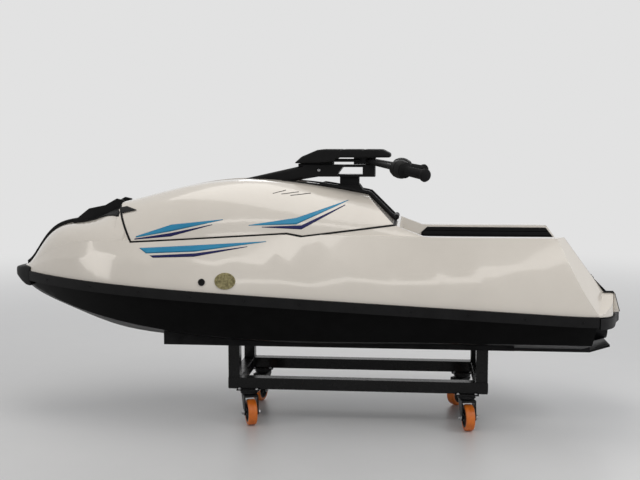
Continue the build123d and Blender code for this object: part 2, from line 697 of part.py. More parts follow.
def make_rest():
    """Rubber block on the hood that the pole head rests on."""
    rest_x = (STEER_X + 40, STEER_X + 114)
    return cut_by(wide_block(rest_x, 34, (GUNNEL_H, HEAD_LOW_H - SEAT_GAP)), hood_loft, hood_console)


# Steering

BAR_H = HEAD_TOP_H + BAR_RISE
PAD_LOW_H = BAR_H + BAR_R + PAD_GAP
bar_bend = Vector(STEER_X, 75, BAR_H)
bar_end = Vector(STEER_X - BAR_SWEEP, BAR_HALF_W, BAR_H - BAR_DROP)
bar_run = (bar_end - bar_bend).normalized()
UPRIGHT = (Align.CENTER, Align.CENTER, Align.MIN)


def make_stem():
    """Steering stem with the clamp of the bar on top."""
    low, top = HEAD_LOW_H + HEAD_ARM + 1, PAD_LOW_H - SEAT_GAP
    flange_low = HEAD_TOP_H + 2
    stem = rod((STEER_X, 0, low), (STEER_X, 0, flange_low + 1), STEM_R)
    stem = stem + wide_block((STEER_X - 26, STEER_X + 60), 28, (flange_low, top))
    return stem - cross_rod(STEER_X, BAR_H, 60, BAR_R + PIN_FIT)


def make_bar():
    """Bent bar tube, swept aft and down to both ends."""
    points = [(bar_end.X, -bar_end.Y, bar_end.Z), (bar_bend.X, -bar_bend.Y, bar_bend.Z), bar_bend, bar_end]
    path = FilletPolyline(*points, radius=60)
    return sweep(Plane(path @ 0, z_dir=path % 0) * Circle(BAR_R), path=path)


def make_grip():
    """Port grip with its flange, open towards the bar."""
    frame = Plane(bar_end - bar_run * GRIP_L, z_dir=bar_run)
    grip = Cylinder(GRIP_R, GRIP_L + 4, align=UPRIGHT) + Cylinder(GRIP_R + 7, 6, align=UPRIGHT)
    bore = Pos(0, 0, -5) * Cylinder(BAR_R + PIN_FIT, GRIP_L + 6, align=UPRIGHT)
    return frame * (grip - bore)


def make_controls():
    """Switch housing on the port side, and the throttle with its lever on the starboard side."""
    frame = Plane(bar_end - bar_run * (GRIP_L + HOUSING + 4), x_dir=(0, 0, 1), z_dir=bar_run)
    box = Pos(-6, 0, 0) * Box(HOUSING, HOUSING - 2, HOUSING - 2, align=UPRIGHT)
    box = chamfer(box.edges(), 5) - Cylinder(BAR_R + PIN_FIT, 4 * HOUSING)
    arm = Pos(0, HOUSING / 2 + 4, HOUSING / 2) * Box(8, 24, 20)
    finger = Pos(0, HOUSING / 2 + 11, HOUSING + 14) * Box(8, 10, 92)
    throttle = mirror(frame * (box + arm + finger), about=Plane.XZ)
    return frame * box, throttle


def make_pad():
    """Foam pad over the bar clamp, wedge shaped at its front."""
    front, rear = STEER_X + PAD_AHEAD, STEER_X - PAD_BEHIND
    top = PAD_LOW_H + PAD_T
    profile = [
        (front, HEAD_TOP_H + 6), (front - 32, PAD_LOW_H + 4), (front - 102, top), (rear + 32, top),
        (rear, PAD_LOW_H + PAD_T / 2), (rear, PAD_LOW_H), (STEER_X + 120, PAD_LOW_H),
        (STEER_X + 142, HEAD_TOP_H + 12), (front - 12, HEAD_TOP_H + 5),
    ]
    plan = [(front + 1, 46), (front - 115, PAD_HALF_W), (rear + 53, PAD_HALF_W), (rear - 1, PAD_HALF_W - 23)]
    return prism_y(profile, -FAR, FAR) & prism_z(plan)


switch_housing, throttle_lever = make_controls()
craft = {
    "hull": hull,
    "deck": deck,
    "hood": hood,
    "hood_seal": hood_seal,
    "hood_console": hood_console,
    "hood_vents": make_vents(),
    "bow_spine": bow_spine,
    "bow_cover": bow_cover,
    "bow_bumper": bow_bumper,
    "rub_rails": rub_rails,
    "stern_bumper": stern_bumper,
    "tray_mat": tray_mat,
    "gunnel_mats": both_sides(side_mat),
    "engine_block": engine_block,
    "pump_housing": make_pump_housing(),
    "steering_nozzle": make_nozzle(),
    "impeller": make_impeller(),
    "ride_plate": make_ride_plate(),
    "intake_grate": make_grate(),
    "side_outlet": side_fitting(*OUTLET_FITTING),
    "side_disc": side_fitting(*DISC_FITTING),
    "pole_bracket": make_bracket(),
    "pole_rest": make_rest(),
    "pole_beam": make_beam(),
    "pole_pin": cross_rod(PIVOT_X, PIVOT_H, PIN_HALF, PIN_R),
    "pole_head": make_head(),
    "steering_stem": make_stem(),
    "handlebar": make_bar(),
    "bar_pad": make_pad(),
    "grips": both_sides(make_grip()),
    "switch_housing": switch_housing,
    "throttle_lever": throttle_lever,
}


# Cart

RAIL_ENDS = (RAIL_X - RAIL_LEN / 2, RAIL_X + RAIL_LEN / 2)
HALF_TUBE = TUBE / 2
PLATE_LOW = CASTER_H - CASTER_PLATE_T


def make_frame():
    """Side rails, cross tubes and posts of the cart, all square tube."""
    rail = block(RAIL_ENDS, (RAIL_Y - HALF_TUBE, RAIL_Y + HALF_TUBE), (CASTER_H, RAIL_TOP))
    cross_tubes, posts = [], []
    for x in (RAIL_ENDS[0] + HALF_TUBE, RAIL_ENDS[1] - HALF_TUBE):
        along = (x - HALF_TUBE, x + HALF_TUBE)
        cross_tubes.append(wide_block(along, RAIL_Y - HALF_TUBE, (CASTER_H, RAIL_TOP)))
        posts += both_sides(block(along, (RAIL_Y - HALF_TUBE, RAIL_Y + HALF_TUBE), (RAIL_TOP, POST_TOP)))
    return both_sides(rail), cross_tubes, posts


def make_bunk():
    """Port bunk, shaped to the hull that rests on it."""
    inner, outer = RAIL_Y - BUNK_W / 2, RAIL_Y + BUNK_W / 2
    blank = block((BUNK_REAR_X, BUNK_FRONT_X), (inner, outer), (POST_TOP, POST_TOP + BUNK_T + 90))
    return blank - Pos(0, 0, KEEL_Z - SEAT_GAP) * hull_loft


def make_fork():
    """Caster fork with its swivel head and axle, trailing towards +X."""
    crown_h = 2 * WHEEL_R + 12
    leg_y = WHEEL_W / 2 + FORK_GAP
    axle_h = WHEEL_R
    profile = [
        (-22, crown_h), (CASTER_TRAIL + 8, crown_h), (CASTER_TRAIL + 16, axle_h + 6),
        (CASTER_TRAIL + 12, axle_h - 10), (CASTER_TRAIL - 10, axle_h - 10), (CASTER_TRAIL - 16, axle_h + 6),
    ]
    fork = rod((0, 0, crown_h), (0, 0, PLATE_LOW - SEAT_GAP), 26)
    fork = fork + wide_block((-22, CASTER_TRAIL + 8), leg_y + FORK_T, (crown_h - 4, crown_h + 3))
    for leg in both_sides(prism_y(profile, leg_y, leg_y + FORK_T)):
        fork = fork + leg
    return fork + cross_rod(CASTER_TRAIL, axle_h, leg_y + FORK_T + 4, AXLE_R)


def make_wheel():
    """Tread and hub of a caster wheel, on its axle."""
    axle = Pos(CASTER_TRAIL, 0, WHEEL_R) * Rot(90, 0, 0)
    rim = WHEEL_R - TREAD_T
    tread = chamfer(Cylinder(WHEEL_R, WHEEL_W).edges().filter_by(GeomType.CIRCLE), TREAD_T / 3)
    tread = tread - Cylinder(rim, WHEEL_W + 2)
    hub = Cylinder(rim, WHEEL_W) - Cylinder(AXLE_R + PIN_FIT, WHEEL_W + 2)
    return axle * tread, axle * hub


rails, cross_tubes, posts = make_frame()
fork = make_fork()
tread, hub = make_wheel()
cart = {
    "cart_rails": rails,
    "cart_cross_tubes": cross_tubes,
    "cart_posts": posts,
    "cart_bunks": both_sides(make_bunk()),
    "caster_plates": [],
}
for name, end, side, angle in CASTERS:
    place = Pos(RAIL_X + end * (RAIL_LEN / 2 - CASTER_INSET), side * RAIL_Y, 0)
    turn = place * Rot(0, 0, angle)
    cart["caster_plates"].append(place * wide_block((-45, 45), 36, (PLATE_LOW, CASTER_H)))
    cart["caster_fork_" + name] = turn * fork
    cart["caster_tread_" + name] = turn * tread
    cart["caster_hub_" + name] = turn * hub


def write_node(name, solid, lift):
    """Write one node, which may be a list of solids, lifted by a height."""
    pieces = solid if isinstance(solid, list) else [solid]
    solids = [part for piece in pieces for part in (Pos(0, 0, lift) * piece).solids()]
    export_step(solids[0] if len(solids) == 1 else Compound(solids), f"parts/{name}.step")


os.makedirs("parts", exist_ok=True)
for name, solid in craft.items():
    write_node(name, solid, KEEL_Z)
for name, solid in cart.items():
    write_node(name, solid, 0)
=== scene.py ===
"""Looks of a stand-up personal watercraft on its rolling cart.

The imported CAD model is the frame, and every piece rides on one of its bodies. Metres, +X to the bow, +Y to
port, +Z up, as in the CAD.
"""
import json
import math

import bmesh
import bpy
import numpy as np
from mathutils import Matrix, Vector
from mathutils.bvhtree import BVHTree


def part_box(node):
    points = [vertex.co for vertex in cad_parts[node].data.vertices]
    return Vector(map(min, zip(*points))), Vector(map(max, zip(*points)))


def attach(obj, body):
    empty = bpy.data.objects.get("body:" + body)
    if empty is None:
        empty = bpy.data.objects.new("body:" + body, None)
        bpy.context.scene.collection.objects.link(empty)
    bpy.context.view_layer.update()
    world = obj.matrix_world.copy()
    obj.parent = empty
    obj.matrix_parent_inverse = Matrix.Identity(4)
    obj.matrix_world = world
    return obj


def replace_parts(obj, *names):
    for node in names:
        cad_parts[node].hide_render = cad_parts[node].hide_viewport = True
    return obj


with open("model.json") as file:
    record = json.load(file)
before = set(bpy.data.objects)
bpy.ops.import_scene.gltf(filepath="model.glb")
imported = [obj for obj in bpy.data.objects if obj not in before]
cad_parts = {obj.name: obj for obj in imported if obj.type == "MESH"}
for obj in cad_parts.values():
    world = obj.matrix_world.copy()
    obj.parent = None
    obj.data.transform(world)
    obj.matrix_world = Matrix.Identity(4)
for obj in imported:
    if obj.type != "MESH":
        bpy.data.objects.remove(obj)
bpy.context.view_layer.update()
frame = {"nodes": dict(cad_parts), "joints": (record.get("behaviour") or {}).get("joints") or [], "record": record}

nodes = frame["nodes"]
joints = {joint["name"]: joint for joint in frame["joints"]}
slot_of = {part["node"]: part["material_slot"] for part in frame["record"]["subparts"]}

CORNERS = ("front_left", "front_right", "rear_left", "rear_right")
SIDES = ((1, "port"), (-1, "starboard"))
BOTH = (1, -1)                         # port and starboard, or the two ends of an axle
AHEAD = (1, 0, 0)
TO_PORT = (0, 1, 0)
UP = (0, 0, 1)
DOWN = (0, 0, -1)
RAY_FAR = 2.0                          # rays start this far out
WELD = 2e-5                            # split corners closer than this are one
WALL_LEAN = 0.19                       # sideways per height of the tray's walls


# Materials

def put(tree, kind, **values):
    """New shader node with values for its input sockets."""
    node = tree.nodes.new(kind)
    for socket, value in values.items():
        node.inputs[socket.replace("_", " ")].default_value = value
    return node


def surface(name, dark, light, cloud, rough, grain, depth, edge=0.0015, metallic=0.0, coat=0.0, sheen=0.0,
            specular=0.5, stretch=(1, 1, 1)):
    """Material with cloudy colour from dark to light, uneven gloss, fine bumpy grain and softened edges.

    cloud and grain are noise scales per metre, rough is a low, high pair, and depth is the bump's height in
    metres.
    """
    material = bpy.data.materials.new(name)
    material.use_nodes = True
    tree = material.node_tree
    join = tree.links.new
    shader = tree.nodes["Principled BSDF"]
    constants = {"Metallic": metallic, "Coat Weight": coat, "Coat Roughness": 0.05, "Sheen Weight": sheen,
                 "Specular IOR Level": specular}
    for socket, value in constants.items():
        shader.inputs[socket].default_value = value
    coords = put(tree, "ShaderNodeTexCoord")
    mapping = put(tree, "ShaderNodeMapping", Scale=stretch)
    clouds = put(tree, "ShaderNodeTexNoise", Scale=cloud, Detail=6.0, Roughness=0.62)
    fine = put(tree, "ShaderNodeTexNoise", Scale=grain, Detail=3.0)
    ramp = put(tree, "ShaderNodeValToRGB")
    for element, place, colour in zip(ramp.color_ramp.elements, (0.32, 0.68), (dark, light)):
        element.position = place
        element.color = (*colour, 1)
    gloss = put(tree, "ShaderNodeMapRange", From_Min=0.3, From_Max=0.7, To_Min=rough[0], To_Max=rough[1])
    rounded = put(tree, "ShaderNodeBevel", Radius=edge)
    bump = put(tree, "ShaderNodeBump", Strength=0.6, Distance=depth)
    join(coords.outputs["Object"], mapping.inputs["Vector"])
    for noise in (clouds, fine):
        join(mapping.outputs["Vector"], noise.inputs["Vector"])
    join(clouds.outputs["Fac"], ramp.inputs["Fac"])
    join(ramp.outputs["Color"], shader.inputs["Base Color"])
    join(clouds.outputs["Fac"], gloss.inputs["Value"])
    join(gloss.outputs["Result"], shader.inputs["Roughness"])
    join(fine.outputs["Fac"], bump.inputs["Height"])
    join(rounded.outputs["Normal"], bump.inputs["Normal"])
    join(bump.outputs["Normal"], shader.inputs["Normal"])
    return material


def black(name, low, high, rough, grain, depth, **more):
    """Black material: plastics, rubbers and paints of this craft."""
    more.setdefault("specular", 0.12)
    return surface(name, (low, low, low * 1.04), (high, high, high * 1.04), 14, rough, grain, depth, **more)


def film_colour(name, dark, light, rough=(0.20, 0.28), specular=0.25):
    """Smooth printed film."""
    return surface(name, dark, light, 6, rough, 90, 0.00004, specular=specular)


MATERIALS = {
    "hull_black": black("hull_black", 0.002, 0.004, (0.36, 0.48), 260, 0.00010, edge=0.003, specular=0.05),
    "gelcoat_white": surface(
        "gelcoat_white", (0.725, 0.672, 0.596), (0.770, 0.717, 0.640), 3.0, (0.14, 0.20), 90, 0.00005,
        edge=0.006, coat=0.8),
    "seal_rubber": black("seal_rubber", 0.006, 0.011, (0.6, 0.75), 700, 0.00020),
    "trim_black": black("trim_black", 0.005, 0.010, (0.42, 0.58), 900, 0.00022),
    "bumper_black": black("bumper_black", 0.006, 0.011, (0.40, 0.55), 500, 0.00018, edge=0.004),
    "bumper_grey": black("bumper_grey", 0.012, 0.018, (0.42, 0.56), 500, 0.00018, edge=0.004),
    "foam_mat": black("foam_mat", 0.006, 0.012, (0.78, 0.92), 420, 0.00045, sheen=0.05),
    "engine_metal": surface(
        "engine_metal", (0.34, 0.34, 0.35), (0.44, 0.44, 0.45), 9, (0.38, 0.52), 380, 0.0003, metallic=0.9),
    "pump_metal": surface(
        "pump_metal", (0.40, 0.41, 0.42), (0.52, 0.53, 0.55), 12, (0.30, 0.46), 420, 0.00022, metallic=0.95),
    "impeller_steel": surface(
        "impeller_steel", (0.50, 0.50, 0.52), (0.62, 0.62, 0.64), 16, (0.18, 0.30), 300, 0.00008,
        metallic=1.0, stretch=(1, 6, 6)),
    "disc_gold": surface(
        "disc_gold", (0.075, 0.062, 0.022), (0.34, 0.30, 0.15), 120, (0.30, 0.45), 650, 0.00025,
        metallic=0.55),
    "pole_black": black("pole_black", 0.004, 0.008, (0.34, 0.48), 800, 0.00016),
    "bar_metal": black("bar_metal", 0.010, 0.018, (0.28, 0.40), 900, 0.00008, metallic=0.3),
    "pad_foam": black("pad_foam", 0.005, 0.010, (0.62, 0.80), 520, 0.00050, sheen=0.04),
    "grip_rubber": black("grip_rubber", 0.005, 0.010, (0.62, 0.78), 900, 0.00025),
    "cart_paint": black("cart_paint", 0.004, 0.007, (0.20, 0.32), 190, 0.00010, edge=0.003, coat=0.12),
    "bunk_carpet": black("bunk_carpet", 0.006, 0.018, (0.88, 0.98), 1100, 0.0014, sheen=0.1),
    "fork_black": black("fork_black", 0.012, 0.020, (0.26, 0.38), 420, 0.00010),
    "wheel_orange": surface(
        "wheel_orange", (0.66, 0.145, 0.012), (0.80, 0.205, 0.024), 40, (0.30, 0.44), 500, 0.00015),
    "wheel_hub": black("wheel_hub", 0.016, 0.026, (0.36, 0.50), 600, 0.00016),
}
STRIPE_CYAN = film_colour("stripe_cyan", (0.020, 0.23, 0.42), (0.032, 0.28, 0.48), specular=0.3)
STRIPE_NAVY = film_colour("stripe_navy", (0.005, 0.006, 0.070), (0.008, 0.010, 0.095))
STRIPE_BLACK = film_colour("stripe_black", (0.006, 0.006, 0.007), (0.010, 0.010, 0.011), (0.22, 0.30))
PLATE_BLACK = black("plate_black", 0.008, 0.014, (0.30, 0.44), 420, 0.00015, metallic=0.3)
BUTTON_RED = surface("button_red", (0.42, 0.012, 0.010), (0.52, 0.018, 0.014), 60, (0.30, 0.42), 700, 0.0001)
ZINC = surface(
    "zinc_bolt", (0.36, 0.36, 0.37), (0.50, 0.50, 0.51), 60, (0.28, 0.42), 900, 0.0001, metallic=1.0)


# Smooth shading of the CAD nodes and of the new pieces, as modifiers

SMOOTH_LIMIT = math.radians(32)        # edges sharper than this stay crisp
BEVEL_LIMIT = math.radians(35)         # edges sharper than this are rounded


def smoothing_group():
    """Geometry nodes that weld split corners and shade smooth, apart from the sharp edges."""
    group = bpy.data.node_groups.new("smooth_by_angle", "GeometryNodeTree")
    for way in ("INPUT", "OUTPUT"):
        group.interface.new_socket("Geometry", in_out=way, socket_type="NodeSocketGeometry")
    make = group.nodes.new
    start = make("NodeGroupInput")
    end = make("NodeGroupOutput")
    bare = make("GeometryNodeRemoveAttribute")
    bare.inputs["Name"].default_value = "custom_normal"
    weld = make("GeometryNodeMergeByDistance")
    weld.inputs["Distance"].default_value = WELD
    soft = make("GeometryNodeSetShadeSmooth")
    crisp = make("GeometryNodeSetShadeSmooth")
    crisp.domain = "EDGE"
    crisp.inputs["Shade Smooth"].default_value = False
    angle = make("GeometryNodeInputMeshEdgeAngle")
    sharp = make("FunctionNodeCompare")
    sharp.operation = "GREATER_THAN"
    sharp.inputs[1].default_value = SMOOTH_LIMIT
    join = group.links.new
    chain = (start, bare, weld, soft, crisp, end)
    for giver, taker in zip(chain, chain[1:]):
        join(giver.outputs["Geometry"], taker.inputs["Geometry"])
    join(angle.outputs["Unsigned Angle"], sharp.inputs[0])
    join(sharp.outputs["Result"], crisp.inputs["Selection"])
    return group


SMOOTHING = smoothing_group()


def shade(obj):
    """Smooth shading with flat faces kept flat."""
    obj.modifiers.new("smooth", "NODES").node_group = SMOOTHING
    weights = obj.modifiers.new("weights", "WEIGHTED_NORMAL")
    weights.keep_sharp = True


def dress(obj, material):
    """One material on the whole object."""
    obj.data.materials.clear()
    obj.data.materials.append(material)


def place_in_scene(name, data):
    """New object in the scene."""
    obj = bpy.data.objects.new(name, data)
    bpy.context.scene.collection.objects.link(obj)
    return obj


def piece(name, mesh, body, slot, material=None, bevel=0.0, segments=2):
    """New object that rides on a body and takes its finish from a material slot."""
    obj = place_in_scene(name, mesh)
    dress(obj, material or MATERIALS[slot])
    if bevel:
        rounding = obj.modifiers.new("rounding", "BEVEL")
        rounding.width = bevel
        rounding.segments = segments
        rounding.limit_method = "ANGLE"
        rounding.angle_limit = BEVEL_LIMIT
    shade(obj)
    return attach(obj, body)


def mesh_from(bm, name):
    """Mesh of a finished bmesh, with its normals outwards."""
    bmesh.ops.recalc_face_normals(bm, faces=bm.faces)
    mesh = bpy.data.meshes.new(name)
    bm.to_mesh(mesh)
    bm.free()
    return mesh


def build(name, bm, body, slot, material=None, **more):
    """Piece from a finished bmesh."""
    return piece(name, mesh_from(bm, name), body, slot, material, **more)


COATED = {"ride_plate": PLATE_BLACK, "steering_nozzle": PLATE_BLACK}
PROUD = {"hood_seal": 0.0013, "bow_spine": 0.0050}    # soft edges that stand proud of the mouldings


def dress_nodes():
    """Finish of the CAD nodes, with a little swell on the soft edges."""
    for name, node in nodes.items():
        dress(node, COATED.get(name, MATERIALS[slot_of[name]]))
        shade(node)
        if name in PROUD:
            swell = node.modifiers.new("swell", "DISPLACE")
            swell.strength = PROUD[name]
            swell.mid_level = 0.0


# Shapes

HEX = 6                                # marks a hexagonal ring in a profile


def hexagon_reach(radius, turn):
    """Reach of a hexagon's outline at an angle, from the radius of its corners."""
    return radius * math.cos(math.pi / 6) / math.cos(turn % (math.pi / 3) - math.pi / 6)


def lathe(bm, profile, place, steps=40, closed=False):
    """Surface of revolution about the local Z of a matrix.

    The profile has (along, radius) points, or (along, radius, HEX) where the ring is a hexagon.
    """
    rings = []
    for along, radius, *hexagon in profile:
        ring = []
        for step in range(steps if radius > 0 else 1):
            turn = 2 * math.pi * step / steps
            reach = hexagon_reach(radius, turn) if hexagon else radius
            ring.append(bm.verts.new(place @ Vector((reach * math.cos(turn), reach * math.sin(turn), along))))
        rings.append(ring)
    pairs = list(zip(rings, rings[1:]))
    if closed:
        pairs.append((rings[-1], rings[0]))
    for a, b in pairs:
        for step in range(steps):
            corners = [a[step % len(a)], a[(step + 1) % len(a)], b[(step + 1) % len(b)], b[step % len(b)]]
            kept = list(dict.fromkeys(corners))
            if len(kept) > 2:
                bm.faces.new(kept)


def along_axis(point, axis):
    """Matrix at a point with its local Z along an axis."""
    turn = Vector(UP).rotation_difference(Vector(axis))
    return Matrix.Translation(Vector(point)) @ turn.to_matrix().to_4x4()


def box(bm, low, high, place=Matrix()):
    """Box between two corners of a local frame."""
    size = Vector(high) - Vector(low)
    middle = (Vector(high) + Vector(low)) / 2
    sized = place @ Matrix.Translation(middle) @ Matrix.Diagonal((*size, 1))
    return bmesh.ops.create_cube(bm, size=1.0, matrix=sized)["verts"]


def wedge(bm, low, high, grow):
    """Box whose foot is wider than its top by grow on each side."""
    middle = (Vector(high) + Vector(low)) / 2
    for vertex in box(bm, low, high):
        if vertex.co.z < middle.z:
            vertex.co.x += math.copysign(grow, vertex.co.x - middle.x)
            vertex.co.y += math.copysign(grow, vertex.co.y - middle.y)


def rod(bm, points, radii, steps=14):
    """Round rod through points, with a radius at each."""
    last = len(points) - 1
    turns = [2 * math.pi * step / steps for step in range(steps)]
    rings = []
    for index, (point, radius) in enumerate(zip(points, radii)):
        run = points[min(index + 1, last)] - points[max(index - 1, 0)]
        place = along_axis(point, run.normalized())
        ring = [place @ Vector((radius * math.cos(turn), radius * math.sin(turn), 0)) for turn in turns]
        rings.append([bm.verts.new(corner) for corner in ring])
    for a, b in zip(rings, rings[1:]):
        for step in range(steps):
            bm.faces.new((a[step - 1], a[step], b[step], b[step - 1]))
    bm.faces.new(rings[0])
    bm.faces.new(rings[-1])


def bolt_profile(radius, sink=0.0006):
    """Button head with a hexagonal socket, sunk a little into what carries it."""
    tall = radius * 0.75
    return [
        (-sink, 0), (-sink, radius), (tall * 0.45, radius), (tall * 0.85, radius * 0.82),
        (tall, radius * 0.62), (tall, radius * 0.46, HEX), (tall * 0.4, radius * 0.42, HEX), (tall * 0.4, 0),
    ]


def bolts(name, places, radius, body, slot="trim_black", material=None):
    """One mesh of bolt heads at (point, axis) places."""
    bm = bmesh.new()
    for point, axis in places:
        lathe(bm, bolt_profile(radius), along_axis(point, axis), steps=24)
    return build(name, bm, body, slot, material)


def skin(*names):
    """Ray-cast tree over some CAD nodes."""
    points, faces = [], []
    for name in names:
        mesh = nodes[name].data
        first = len(points)
        points += [vertex.co.copy() for vertex in mesh.vertices]
        faces += [[first + index for index in face.vertices] for face in mesh.polygons]
    return BVHTree.FromPolygons(points, faces)


def strike(tree, start, way):
    """Point where a ray meets a skin, with the normal on the ray's side."""
    point, normal, *rest = tree.ray_cast(Vector(start), Vector(way))
    if point is None:
        raise ValueError(f"no skin on the ray from {start}")
    return point, normal if normal.dot(Vector(way)) < 0 else -normal


def abeam(tree, x, z, side):
    """Point and normal where a level ray from one side meets a skin."""
    return strike(tree, (x, side * RAY_FAR, z), (0, -side, 0))


def from_above(tree, x, y):
    """Point and normal where a falling ray meets a skin."""
    return strike(tree, (x, y, RAY_FAR), DOWN)


# Stripes: plain tapering bands along the seam, on both sides

FILM = 0.0005                          # height of the film over the skin
FILM_THICK = 0.8                       # share of that height
STRIPES = [
    # name, material, upper line, lower line, each of (x, z) points
    ("stripe_hood_front", STRIPE_CYAN,
     [(0.640, 0.736), (0.500, 0.782), (0.300, 0.804)], [(0.640, 0.731), (0.500, 0.757), (0.300, 0.802)]),
    ("stripe_hood_front_edge", STRIPE_NAVY,
     [(0.645, 0.727), (0.500, 0.751), (0.340, 0.785)], [(0.645, 0.723), (0.500, 0.738), (0.340, 0.783)]),
    ("stripe_hood_rear", STRIPE_CYAN,
     [(0.200, 0.784), (0.020, 0.812), (-0.170, 0.876)], [(0.200, 0.782), (0.020, 0.788), (-0.170, 0.874)]),
    ("stripe_hood_rear_edge", STRIPE_NAVY,
     [(0.150, 0.778), (0.000, 0.785), (-0.160, 0.860)], [(0.150, 0.776), (0.000, 0.770), (-0.160, 0.857)]),
    ("stripe_deck", STRIPE_CYAN,
     [(0.620, 0.694), (0.400, 0.708), (0.130, 0.726)], [(0.590, 0.675), (0.400, 0.685), (0.130, 0.724)]),
    ("stripe_deck_edge", STRIPE_NAVY,
     [(0.575, 0.668), (0.400, 0.679), (0.200, 0.707)], [(0.560, 0.660), (0.400, 0.667), (0.200, 0.705)]),
    ("stripe_hood_dash_1", STRIPE_BLACK,
     [(0.119, 0.900), (0.071, 0.912)], [(0.119, 0.898), (0.071, 0.910)]),
    ("stripe_hood_dash_2", STRIPE_BLACK,
     [(0.086, 0.898), (0.021, 0.906)], [(0.086, 0.896), (0.021, 0.904)]),
    ("stripe_hood_dash_3", STRIPE_BLACK,
     [(0.051, 0.893), (-0.025, 0.901)], [(0.051, 0.891), (-0.025, 0.899)]),
]
# Black skin between the bow cover and the front of the hood's seam
COVER_LINK = (
    [(0.7445, 0.8180), (0.7380, 0.8220), (0.7352, 0.8290), (0.7268, 0.8195)],
    [(0.7445, 0.8030), (0.7380, 0.8030), (0.7352, 0.8050), (0.7268, 0.8050)],
)


def between(line, share):
    """Point at a share of a line of points, whose runs count alike."""
    run = min(int(share * (len(line) - 1)), len(line) - 2)
    part = share * (len(line) - 1) - run
    return Vector(line[run]).lerp(Vector(line[run + 1]), part)


def film(name, tree, upper, lower, side, material, slot="gelcoat_white", columns=54, rows=5):
    """Thin film on the side between two lines of (x, z) points."""
    bm = bmesh.new()
    grid = []
    for column in range(columns + 1):
        top = between(upper, column / columns)
        foot = between(lower, column / columns)
        strip = []
        for row in range(rows + 1):
            x, z = top.lerp(foot, row / rows)
            point, normal = abeam(tree, x, z, side)
            strip.append(bm.verts.new(point + normal * FILM))
        grid.append(strip)
    for a, b in zip(grid, grid[1:]):
        for row in range(rows):
            bm.faces.new((a[row], a[row + 1], b[row + 1], b[row]))
    obj = build(name, bm, "craft", slot, material)
    thick = obj.modifiers.new("thickness", "SOLIDIFY")
    thick.thickness = FILM * FILM_THICK
    thick.offset = 0


def make_stripes():
    """Stripes and the black skin beside the bow cover."""
    shell = skin("hood", "deck")
    for name, material, upper, lower in STRIPES:
        for side, label in SIDES:
            film(f"{name}_{label}", shell, upper, lower, side, material)
    for side, label in SIDES:
        film(f"cover_link_{label}", shell, *COVER_LINK, side, MATERIALS["trim_black"], "trim_black")


# Foam mats with moulded grooves

RIB_PITCH = 0.017
RIB_GAP = 0.004
RIB_DEEP = 0.0035
MAT_RIM = 0.007                        # white rim above the side mats
OPEN_FACE = 0.8                        # a face that looks this much to the open side belongs to it


def welded(node):
    """Bmesh of a CAD node with its split corners joined."""
    bm = bmesh.new()
    bm.from_mesh(nodes[node].data)
    bmesh.ops.remove_doubles(bm, verts=bm.verts, dist=WELD)
    return bm


def cut_off(bm, axis, place, sign):
    """Cuts off what lies beyond a place on an axis, towards sign, and closes the cut."""
    plane = Vector()
    normal = Vector()
    plane[axis] = place
    normal[axis] = sign
    parts = bm.verts[:] + bm.edges[:] + bm.faces[:]
    cut = bmesh.ops.bisect_plane(bm, geom=parts, plane_co=plane, plane_no=normal, clear_outer=True)
    rim = [part for part in cut["geom_cut"] if isinstance(part, bmesh.types.BMEdge)]
    bmesh.ops.holes_fill(bm, edges=rim, sides=0)


def absorb(bm, other):
    """Moves the faces of one bmesh into another."""
    part = bpy.data.meshes.new("part")
    other.to_mesh(part)
    other.free()
    bm.from_mesh(part)
    bpy.data.meshes.remove(part)


def looks_up(face):
    """How much a face looks up."""
    return face.normal.z


def looks_inboard(face):
    """How much a face looks to the middle of the craft."""
    return -face.normal.y * math.copysign(1, face.calc_center_median().y)


def ribbed_mat(node, axis, openness):
    """Foam mat from a CAD node: ribs across an axis on a thinner backing. openness rates a face, up to 1."""
    low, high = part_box(node)
    backing = welded(node)
    open_faces = {face for face in backing.faces if openness(face) > OPEN_FACE}
    for vertex in {vertex for face in open_faces for vertex in face.verts}:
        normal = next(face.normal for face in vertex.link_faces if face in open_faces)
        vertex.co -= normal * RIB_DEEP
    bm = bmesh.new()
    absorb(bm, backing)
    count = max(1, round((high[axis] - low[axis]) / RIB_PITCH))
    pitch = (high[axis] - low[axis]) / count
    for number in range(count):
        rib = welded(node)
        cut_off(rib, axis, low[axis] + number * pitch + RIB_GAP / 2, -1)
        cut_off(rib, axis, low[axis] + (number + 1) * pitch - RIB_GAP / 2, 1)
        absorb(bm, rib)
    return mesh_from(bm, node + "_foam")


def below_rim(mesh, low, high):
    """Draws the side mats down along the leaning wall, so that a white rim shows above them."""
    for vertex in mesh.vertices:
        drop = MAT_RIM * (vertex.co.z - low.z) / (high.z - low.z)
        vertex.co.z -= drop
        vertex.co.y -= math.copysign(drop * WALL_LEAN, vertex.co.y)


def make_mats():
    """The floor mat and the two side mats of the rider's tray."""
    for node, axis, openness in (("tray_mat", 1, looks_up), ("gunnel_mats", 2, looks_inboard)):
        mesh = ribbed_mat(node, axis, openness)
        if node == "gunnel_mats":
            below_rim(mesh, *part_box(node))
        obj = piece(node + "_foam", mesh, "craft", "foam_mat", bevel=0.0009)
        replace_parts(obj, node)


# Bar pad and bow bumper, softened from their CAD shapes

